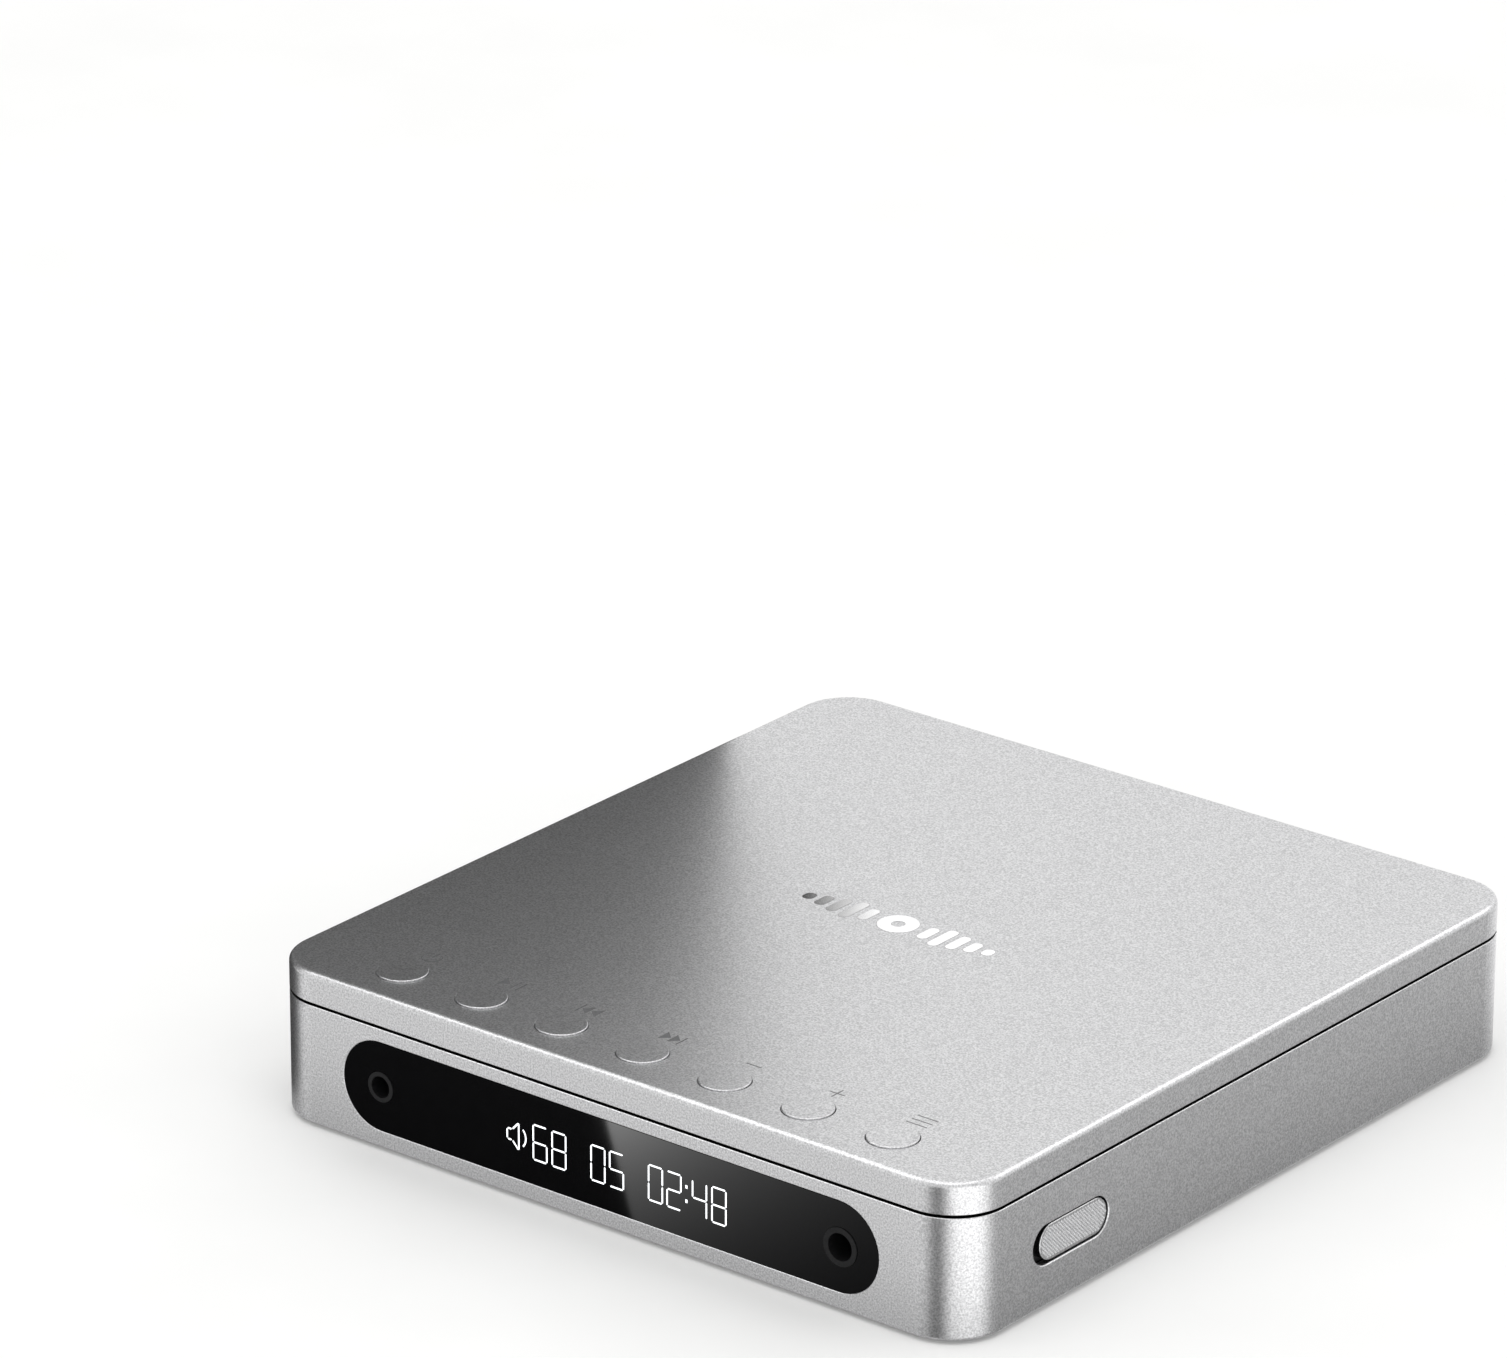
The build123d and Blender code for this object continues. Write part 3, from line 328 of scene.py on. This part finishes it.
LOW = GLASS_Z - DIGIT_H / 2 - 0.3
shapes = []
for text, start, pitch in (("68", -14.25, 3.75), ("05", -2.8, 3.65), ("02", 8.46, 3.6), ("48", 17.0, 3.75)):
    for i, char in enumerate(text):
        shapes += digit(char, start + i * pitch, LOW)
for up in (0.29, 0.68):
    shapes.append(bar(15.75, LOW + DIGIT_H * up, 16.15, LOW + DIGIT_H * up + 0.55))
# the speaker mark: an outlined box with a flared cone, and a sound wave
mid = LOW + DIGIT_H / 2
outline = [(-19.3, -0.9), (-18.3, -0.9), (-17.0, -2.3), (-17.0, 2.3), (-18.3, 0.9), (-19.3, 0.9)]
for i in range(6):
    (x0, z0), (x1, z1) = outline[i], outline[(i + 1) % 6]
    shapes.append(segment(x0, mid + z0, x1, mid + z1))
shapes.append(arc_band(-17.6, mid, 2.0, STROKE, -44, 44, 14))
marks("display_segments", shapes, lit, "base", on_front, 0.002, 0.012)


# ---- Sockets ---------------------------------------------------------------
# Black nylon barrels round the jack bores, glass-filled and spark-eroded in
# the mould, so they look dark grey and matt at the rim.

nylon, tree, shader = material("black_nylon_barrels", Roughness=0.5, Specular_IOR_Level=0.22)
noise = mottled(tree, shader, "#121213", "#1A1A1B", 0.5)
bumped(tree, shader, noise.outputs["Fac"], 0.01, 0.3)
dress(nylon, "headphone_jack_35", "headphone_jack_44", "line_jack_35", "line_jack_44")

# Jack bodies, switch bodies and the deck are injection-moulded ABS with a fine matt spark texture.
abs_black, tree, shader = material("moulded_abs_black", Roughness=0.55)
noise = mottled(tree, shader, "#121213", "#1B1B1C", 0.35)
bumped(tree, shader, noise.outputs["Fac"], 0.02, 0.4)
dress(abs_black, "headphone_housing_35", "headphone_housing_44", "line_housing_35", "line_housing_44",
      "switch_body_gain", "switch_body_power", "deck", "lid_panel")

# The data and power sockets are drawn stainless shells, bright inside.
shell_steel, tree, shader = material("drawn_stainless", Metallic=1.0, Roughness=0.28)
noise = mottled(tree, shader, "#8E8D8B", "#A9A8A6", 0.6)
bumped(tree, shader, noise.outputs["Fac"], 0.01, 0.2)
dress(shell_steel, "usb_socket_data", "usb_socket_power")


# ---- Switch knobs ----------------------------------------------------------
# Small round knobs of the two slide switches, turned from the same blasted
# alloy as the case.

dress(key_metal, "switch_knob_gain", "switch_knob_power")


# ---- Release slider --------------------------------------------------------
# A blasted alloy slider. Its face carries a fine grid of small raised points
# that a thumb can push against.

slider_metal, tree, shader = blasted_aluminium("slider_alloy", "#BDBDBE", "#E6E6E7", 0.34)
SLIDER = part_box("open_slider")
# painted shade: behind its face the slider is painted matt black, for the shadow in the gaps round it
place = add(tree, "ShaderNodeTexCoord")
across = add(tree, "ShaderNodeSeparateXYZ", Vector=place.outputs["Object"]).outputs["X"]
painted_shade_black(tree, shader, math_node(tree, "LESS_THAN", across, SLIDER[1].x - 0.22 * MM))
dress(slider_metal, "open_slider")

KNOB_LENGTH, KNOB_HEIGHT = 16.55, 5.9
KNURL_STEP, KNURL_RISE, KNURL_MARGIN = 0.33, 0.19, 0.34
knob_face = SLIDER[1].x / MM
knob_y = (SLIDER[0].y + SLIDER[1].y) / 2 / MM
knob_z = SLIDER[0].z / MM + 4.2
KNURL_COLUMNS = int(KNOB_LENGTH / 2 / KNURL_STEP) + 1
KNURL_ROWS = int(KNOB_HEIGHT / 2 / KNURL_STEP) + 1


def on_knob(bm, y, z):
    """One four-sided point of the grid, its base corners shared out to half a step."""
    foot = [bm.verts.new(Vector((knob_face + 0.004, knob_y + y + dy, knob_z + z + dz)) * MM)
            for dy, dz in ((KNURL_STEP, 0), (0, KNURL_STEP), (-KNURL_STEP, 0), (0, -KNURL_STEP))]
    tip = bm.verts.new(Vector((knob_face + KNURL_RISE, knob_y + y, knob_z + z)) * MM)
    bm.faces.new(foot[::-1])
    for i in range(4):
        bm.faces.new((foot[i], foot[(i + 1) % 4], tip))


bm = bmesh.new()
flat = (KNOB_LENGTH - KNOB_HEIGHT) / 2
for i in range(-KNURL_COLUMNS, KNURL_COLUMNS + 1):
    for j in range(-KNURL_ROWS, KNURL_ROWS + 1):
        y, z = i * KNURL_STEP, j * KNURL_STEP
        beyond = max(abs(y) - flat, 0)
        if (i + j) % 2 == 0 and math.hypot(beyond, z) < KNOB_HEIGHT / 2 - KNURL_MARGIN:
            on_knob(bm, y, z)
piece_of(bm, "slider_knurl", slider_metal, "release")


# ---- Rear panel markings ---------------------------------------------------
# Fine engraved frames round each group of sockets, with a strip above for a
# symbol, and on and off marks beside the switches.

engraved, tree, shader = material("engraved_line", Metallic=0.5, Roughness=0.55)
mottled(tree, shader, "#7F7F80", "#8D8D8E", 0.4)
REAR_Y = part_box("base_shell")[1].y / MM


def on_rear(x, y, h):
    """A place on the rear panel, y up and h out of it."""
    return Vector((x, REAR_Y + h, y))


FINE = 0.13                 # width of the engraved lines
LOW_Z, SPLIT_Z, HIGH_Z = 2.0, 15.65, 19.0


def frame_lines(x0, x1, x_split):
    """A box with a strip along its top, split in two."""
    half = FINE / 2
    inner = half + 0.001
    return [bar(x0 - half, LOW_Z - half, x1 + half, LOW_Z + half),
            bar(x0 - half, HIGH_Z - half, x1 + half, HIGH_Z + half),
            bar(x0 - half, LOW_Z + inner, x0 + half, HIGH_Z - inner),
            bar(x1 - half, LOW_Z + inner, x1 + half, HIGH_Z - inner),
            bar(x0 + inner, SPLIT_Z - half, x_split - inner, SPLIT_Z + half),
            bar(x_split + inner, SPLIT_Z - half, x1 - inner, SPLIT_Z + half),
            bar(x_split - half, LOW_Z + inner, x_split + half, HIGH_Z - inner)]


def ring_line(x, z, r, steps=24):
    """An engraved ring, as two half bands that stop just short of each other."""
    return [arc_band(x, z, r, FINE, start, start + 178, steps) for start in (1, 181)]


lines = []
for group in ((28.1, 55.2, 41.7), (1.9, 27.4, 12.7), (-25.5, 1.0, -14.0)):
    lines += frame_lines(*group)
sign_z = (SPLIT_Z + HIGH_Z) / 2
# balanced output: a ring with two bars; single-ended output: a ring round a dot
lines += ring_line(48.4, sign_z, 1.05)
lines += [bar(47.9, sign_z + dz - 0.1, 48.9, sign_z + dz + 0.1) for dz in (-0.3, 0.3)]
lines += ring_line(34.9, sign_z, 1.05)
lines += [bar(34.65, sign_z - 0.25, 35.15, sign_z + 0.25)]
# data: an arrow in both directions; anti-shock: a square wave
lines += [bar(18.9, sign_z - 0.07, 21.3, sign_z + 0.07)]
lines += [[(21.4, sign_z - 0.55), (21.4, sign_z + 0.55), (22.2, sign_z)],
          [(18.8, sign_z - 0.55), (18.0, sign_z), (18.8, sign_z + 0.55)]]
for k in range(4):
    lines.append(bar(5.5 + k, sign_z - 0.7, 5.5 + k + FINE, sign_z + 0.7))
    if k < 3:
        level = 0.7 if k % 2 else -0.7 + FINE
        lines.append(bar(5.5 + k + FINE + 0.001, sign_z + level - FINE, 6.5 + k - 0.001, sign_z + level))
# supply: a bolt; desk mode: a desk with its two legs
lines.append([(-6.3, sign_z - 1.1), (-5.6, sign_z + 0.1), (-6.2, sign_z + 0.1), (-5.9, sign_z + 1.1),
              (-7.0, sign_z - 0.15), (-6.35, sign_z - 0.15)])
lines += [bar(-21.2, sign_z + 0.5, -18.4, sign_z + 0.65), bar(-20.9, sign_z - 0.9, -20.75, sign_z + 0.499),
          bar(-18.85, sign_z - 0.9, -18.7, sign_z + 0.499)]
# a bar for on and a ring for off, above each switch
for x in (7.1, -19.8):
    lines.append(bar(x + 1.9, 9.6, x + 2.05, 11.2))
    lines += ring_line(x - 2.0, 10.4, 0.75)
marks("rear_markings", lines, engraved, "base", on_rear)


# ---- Boards ----------------------------------------------------------------
# Glass-epoxy boards under dark green solder resist, with packaged chips,
# plated cans and gold contacts.

TRACK_MM = 1.6              # spacing of the copper that shows through the resist
resist, tree, shader = material("green_solder_resist", Roughness=0.32, Coat_Weight=0.3)
place = add(tree, "ShaderNodeTexCoord")
tracks = add(tree, "ShaderNodeTexBrick", {"offset": 0.37, "squash": 1.0}, Vector=place.outputs["Object"],
             Scale=1 / (TRACK_MM * MM), Color1=colour("#0F3D26"), Color2=colour("#124A2E"),
             Mortar=colour("#1F6B45"))
tracks.inputs["Mortar Size"].default_value = 0.04
tree.links.new(tracks.outputs["Color"], shader.inputs["Base Color"])
bumped(tree, shader, tracks.outputs["Fac"], 0.03, 0.4)
dress(resist, "main_board", "display_board", "key_board")

# Transfer-moulded epoxy round the chips: charcoal, with a fine matt skin.
epoxy, tree, shader = material("chip_epoxy", Roughness=0.5)
noise = mottled(tree, shader, "#151516", "#202021", 0.2)
bumped(tree, shader, noise.outputs["Fac"], 0.01, 0.4)
dress(epoxy, "board_chips")

# Nickel plate on the drawn cans: a warm, slightly cloudy shine.
nickel, tree, shader = material("nickel_plate", Metallic=1.0, Roughness=0.3)
noise = mottled(tree, shader, "#B9B5AD", "#CBC7BF", 1.0)
bumped(tree, shader, noise.outputs["Fac"], 0.01, 0.15)
dress(nickel, "board_capacitors")

# Gold flash over nickel on the sprung contacts: yellow and softly bright.
gold, tree, shader = material("gold_flash", Metallic=1.0, Roughness=0.25)
noise = mottled(tree, shader, "#D9A441", "#E6B758", 0.7)
bumped(tree, shader, noise.outputs["Fac"], 0.01, 0.15)
dress(gold, "battery_contacts")

# Milky moulded acrylic in front of the segments: white, without a sharp highlight.
diffuser, tree, shader = material("white_diffuser", Roughness=0.45)
noise = mottled(tree, shader, "#D8D8D4", "#E6E6E2", 1.2)
bumped(tree, shader, noise.outputs["Fac"], 0.01, 0.2)
dress(diffuser, "display_module")


# ---- Disc drive ------------------------------------------------------------
# Pressed zinc-plated steel chassis, ground steel rods, screw and shafts, a
# black acetal hub with three steel grip balls, and the pickup's coated lens.

# Bright zinc plate on pressed sheet: bluish grey, a little clouded.
zinc, tree, shader = material("zinc_plated_steel", Metallic=1.0, Roughness=0.34)
noise = mottled(tree, shader, "#A7A9AC", "#BDBFC2", 2.5)
bumped(tree, shader, noise.outputs["Fac"], 0.02, 0.2)
dress(zinc, "drive_chassis", "spindle_motor", "sled_motor", "hinge_arm_left", "hinge_arm_right",
      "hinge_bracket_left", "hinge_bracket_right", "latch_hook")

# Centreless-ground steel: clean and nearly mirror bright.
ground, tree, shader = material("ground_steel", Metallic=1.0, Roughness=0.16)
noise = mottled(tree, shader, "#C8C9CB", "#D9DADC", 1.0)
bumped(tree, shader, noise.outputs["Fac"], 0.005, 0.2)
dress(ground, "guide_rods", "lead_screw", "grip_balls", "hinge_pin_left", "hinge_pin_right", "base_screws")

# Moulded acetal: black with a slightly waxy gloss.
acetal, tree, shader = material("black_acetal", Roughness=0.33)
noise = mottled(tree, shader, "#0E0E0F", "#171718", 0.6)
bumped(tree, shader, noise.outputs["Fac"], 0.01, 0.25)
dress(acetal, "turntable_hub", "pickup_sled")

# Only the lens itself is coated glass; its carrier round it is black.
coated, tree, shader = material("coated_lens", Roughness=0.08, Coat_Weight=0.6)
mottled(tree, shader, "#2A2F6E", "#3A4692", 1.5)
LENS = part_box("pickup_lens")
LENS_R = 1.95               # radius of the glass inside its carrier
place = add(tree, "ShaderNodeTexCoord")
axes = add(tree, "ShaderNodeSeparateXYZ", Vector=place.outputs["Object"])
beside = math_node(tree, "SUBTRACT", axes.outputs["X"], (LENS[0].x + LENS[1].x) / 2)
reach = math_node(tree, "SQRT", math_node(tree, "ADD", math_node(tree, "POWER", beside, 2.0),
                                          math_node(tree, "POWER", axes.outputs["Y"], 2.0)))
glass = shader.inputs["Base Color"].links[0].from_socket
carrier = add(tree, "ShaderNodeMix", {"data_type": "RGBA"},
              i0=math_node(tree, "GREATER_THAN", reach, LENS_R * MM), i6=glass, i7=colour("#151516"))
tree.links.new(carrier.outputs[2], shader.inputs["Base Color"])
dress(coated, "pickup_lens")


# ---- Battery ---------------------------------------------------------------
# Flat lithium pack in a heat-shrunk sleeve of dark blue film.

sleeve, tree, shader = material("heat_shrunk_film", Roughness=0.3, Coat_Weight=0.2)
noise = mottled(tree, shader, "#16284F", "#1D3262", 4.0)
bumped(tree, shader, noise.outputs["Fac"], 0.08, 0.35)
dress(sleeve, "battery_pack")


# ---- Studio ----------------------------------------------------------------
# Pale floor and bright, even surroundings. Black, grey and white cards stand
# round the table to shape the reflections; they show in reflections only.

scene = bpy.context.scene
scene.view_settings.view_transform = "Standard"
scene.view_settings.look = "None"

paper, tree, shader = material("studio_paper", Roughness=0.9)
mottled(tree, shader, "#FAFAF9", "#FDFDFC", 60.0)


def sheet(name, corners, made):
    """A flat stage piece through its corners, in mm."""
    mesh = bpy.data.meshes.new(name)
    mesh.from_pydata([tuple(v * MM for v in c) for c in corners], [], [tuple(range(len(corners)))])
    mesh.materials.append(made)
    piece = bpy.data.objects.new(name, mesh)
    bpy.context.scene.collection.objects.link(piece)
    return piece


REACH = 6000                # half the floor's side
floor = sheet("studio_floor", [(x * REACH, y * REACH, 0) for x, y in ((-1, -1), (1, -1), (1, 1), (-1, 1))],
              paper)
floor.visible_glossy = False


def glow(name, level):
    """A plain emitting material."""
    made, tree, shader = material(name, Roughness=1.0, Emission_Strength=level)
    shader.inputs["Base Color"].default_value = (0, 0, 0, 1)
    shader.inputs["Emission Color"].default_value = (1, 1, 1, 1)
    return made


def card(name, corners, made):
    """A card that shows in reflections only: it lights nothing and casts no shadow."""
    piece = sheet(name, corners, made)
    piece.visible_camera = False
    piece.visible_diffuse = False
    piece.visible_shadow = False
    piece.visible_transmission = False
    return piece


def far_card(name, level, azimuth, spread, low, high, distance=1200):
    """An upright card at a distance: its middle direction and width in degrees, its height in mm."""
    ends = [math.radians(azimuth + side * spread / 2) for side in (-1, 1)]
    feet = [(distance * math.cos(a), distance * math.sin(a)) for a in ends]
    corners = [(*feet[0], low), (*feet[1], low), (*feet[1], high), (*feet[0], high)]
    return card(name, corners, glow(name + "_level", level))


card("left_flag", [(-95, -84, -10), (-78, 54, -10), (-78, 54, 144), (-95, -84, 144)],
     glow("left_flag_level", 0.02))
far_card("right_card", 0.46, 38, 44, -900, -20, 700)
far_card("back_card", 1.25, 108, 40, -1300, -20)
far_card("corner_strip", 1.75, -25, 62, -1300, 200)
far_card("corner_flag", 0.05, -78, 26, -1300, -20)
far_card("front_card", 1.0, -129, 60, -1300, -20)


def sky_card(name, level, azimuth, elevation, width, height, distance=1500):
    """A card up in the air, turned to the table: its direction and its width and height in degrees."""
    a, e = math.radians(azimuth), math.radians(elevation)
    away = Vector((math.cos(a) * math.cos(e), math.sin(a) * math.cos(e), math.sin(e)))
    side = Vector((-math.sin(a), math.cos(a), 0)) * math.tan(math.radians(width / 2))
    rise = away.cross(side).normalized() * math.tan(math.radians(height / 2))
    spots = [away + i * side + j * rise for i, j in ((-1, -1), (1, -1), (1, 1), (-1, 1))]
    return card(name, [p * distance for p in spots], glow(name + "_level", level))


# These two light the lid's rounded edges.
sky_card("front_edge_card", 2.7, -170, 50, 60, 14)
sky_card("right_edge_card", 2.6, 72, 42, 44, 14)


def fading_card(name, corners, level, fade):
    """A card whose glow is worked out from its place, in mm. fade gets a tree and its x, y, z sockets."""
    made = glow(name + "_glow", 1.0)
    tree = made.node_tree
    shader = tree.nodes["Principled BSDF"]
    place = add(tree, "ShaderNodeNewGeometry")
    axes = add(tree, "ShaderNodeSeparateXYZ", Vector=place.outputs["Position"])
    strength = fade(tree, *[axes.outputs[c] for c in "XYZ"])
    scaled = add(tree, "ShaderNodeMath", {"operation": "MULTIPLY"}, i0=strength, i1=level)
    tree.links.new(scaled.outputs[0], shader.inputs["Emission Strength"])
    return card(name, corners, made)


# A flag in front of the window keeps it black. A slanted white card beside
# it fades towards the right, as a softbox seen in the glass would.
CAMERA = Vector((0.7709, -0.9973, 0.5747)) / MM
CARD_Y = -400.0


def seen_in_window(x, z, card_y=CARD_Y):
    """Where a card must hold a point so that the window shows it at x, z."""
    eye = Vector((CAMERA.x, 2 * FACE_Y - CAMERA.y, CAMERA.z))
    point = Vector((x, FACE_Y, z))
    way = point - eye
    return point + way * ((card_y - FACE_Y) / way.y)


card("window_flag", [seen_in_window(*p) for p in ((-58, 0), (58, 0), (58, 23), (-58, 23))],
     glow("window_flag_level", 0.04))
TOP_EDGE, LOW_EDGE = (-1.2, 23.0), (6.56, 0.0)
window_start = seen_in_window(2.0, 17.5)
ACROSS_FADE, DOWN_FADE = 24.5, 26.0     # how far the glow takes to fall to about a third


def window_fade(tree, x, y, z):
    """A glow that decays to the right and downwards."""
    across = math_node(tree, "DIVIDE", math_node(tree, "SUBTRACT", x, window_start.x * MM), ACROSS_FADE * MM)
    down = math_node(tree, "DIVIDE", math_node(tree, "SUBTRACT", window_start.z * MM, z), DOWN_FADE * MM)
    fallen = math_node(tree, "ADD", across, down)
    return math_node(tree, "EXPONENT", math_node(tree, "MULTIPLY", fallen, -1.0))


window_card = [seen_in_window(*p, CARD_Y + 1) for p in (LOW_EDGE, (58, 0), (58, 23), TOP_EDGE)]
fading_card("window_card", window_card, 3.75, window_fade)


# A small fading card does the same for the left half of the polished inlay.
INLAY_CARD_Y = 300.0


def seen_in_lid(x, y, card_y=INLAY_CARD_Y):
    """Where a card must hold a point so that the lid's top shows it at x, y."""
    eye = Vector((CAMERA.x, CAMERA.y, 2 * LID_TOP - CAMERA.z))
    point = Vector((x, y, LID_TOP))
    way = point - eye
    return point + way * ((card_y - y) / way.y)


inlay_start, inlay_stop = seen_in_lid(-19, 0), seen_in_lid(19, 0)


def inlay_fade(tree, x, y, z):
    """Rises from nothing at the inlay's left end to full a little before its middle."""
    along = math_node(tree, "DIVIDE", math_node(tree, "SUBTRACT", x, inlay_start.x * MM),
                      (inlay_stop.x - inlay_start.x) * MM)
    return math_node(tree, "MINIMUM", math_node(tree, "MULTIPLY", along, 2.2), 1.0)


left, right = inlay_start.x - 4, inlay_stop.x + 4
low, high = inlay_start.z - 8, inlay_start.z + 8
fading_card("inlay_card", [(left, INLAY_CARD_Y, low), (right, INLAY_CARD_Y, low),
                           (right, INLAY_CARD_Y, high), (left, INLAY_CARD_Y, high)], 1.25, inlay_fade)


# The table's own shade close round the case.
SHADE_REACH, SHADE_DARK = 30.0, 0.42
case_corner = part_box("base_shell")[1]
made = bpy.data.materials.new("table_shade")
made.use_nodes = True
tree = made.node_tree
tree.nodes.clear()
place = add(tree, "ShaderNodeNewGeometry")
axes = add(tree, "ShaderNodeSeparateXYZ", Vector=place.outputs["Position"])
out_x = math_node(tree, "SUBTRACT", math_node(tree, "ABSOLUTE", axes.outputs["X"]), case_corner.x)
out_y = math_node(tree, "SUBTRACT", math_node(tree, "ABSOLUTE", axes.outputs["Y"]), case_corner.y)
near = add(tree, "ShaderNodeMapRange", i0=math_node(tree, "MAXIMUM", out_x, out_y),
           i1=0.0, i2=SHADE_REACH * MM, i3=SHADE_DARK, i4=0.0)
clear = add(tree, "ShaderNodeBsdfTransparent")
shade = add(tree, "ShaderNodeEmission", Color=(0, 0, 0, 1), Strength=0.0)
both = add(tree, "ShaderNodeMixShader", i0=near.outputs[0], i1=clear.outputs[0], i2=shade.outputs[0])
add(tree, "ShaderNodeOutputMaterial", Surface=both.outputs[0])
card("table_shade", [(-100, -104, -0.5), (100, -104, -0.5), (100, 104, -0.5), (-100, 104, -0.5)], made)

world = bpy.data.worlds.new("studio")
scene.world = world
world.use_nodes = True
world.node_tree.nodes["Background"].inputs["Color"].default_value = colour("#FFFFFF")
world.node_tree.nodes["Background"].inputs["Strength"].default_value = 0.92


def softbox(name, place, aim, width, height, watts):
    """A rectangular area light turned to its aim."""
    light = bpy.data.lights.new(name, "AREA")
    light.shape = "RECTANGLE"
    light.size, light.size_y = width, height
    light.energy = watts
    lamp = bpy.data.objects.new(name, light)
    scene.collection.objects.link(lamp)
    lamp.location = place
    lamp.rotation_euler = (Vector(aim) - Vector(place)).to_track_quat("-Z", "Y").to_euler()


softbox("top_light", (0.1, -0.1, 1.3), (0, 0, 0), 1.0, 1.0, 3)


# ---- Camera ----------------------------------------------------------------
# A long lens from the front right, well above the case. The inlay's and the
# window's cards are placed for it.

camera = bpy.data.objects.new("camera", bpy.data.cameras.new("camera"))
scene.collection.objects.link(camera)
camera.data.lens = 209.8
camera.data.sensor_width = 36
camera.data.sensor_fit = "HORIZONTAL"
camera.data.clip_end = 50
forward = Vector((-0.5805, 0.7236, -0.3733)).normalized()
right = Vector((0.7793, 0.6266, 0.0027))
right = (right - forward * right.dot(forward)).normalized()
up = right.cross(forward)
turn = Matrix((right, up, -forward)).transposed().to_4x4()
camera.matrix_world = Matrix.Translation(CAMERA * MM) @ turn
scene.camera = camera
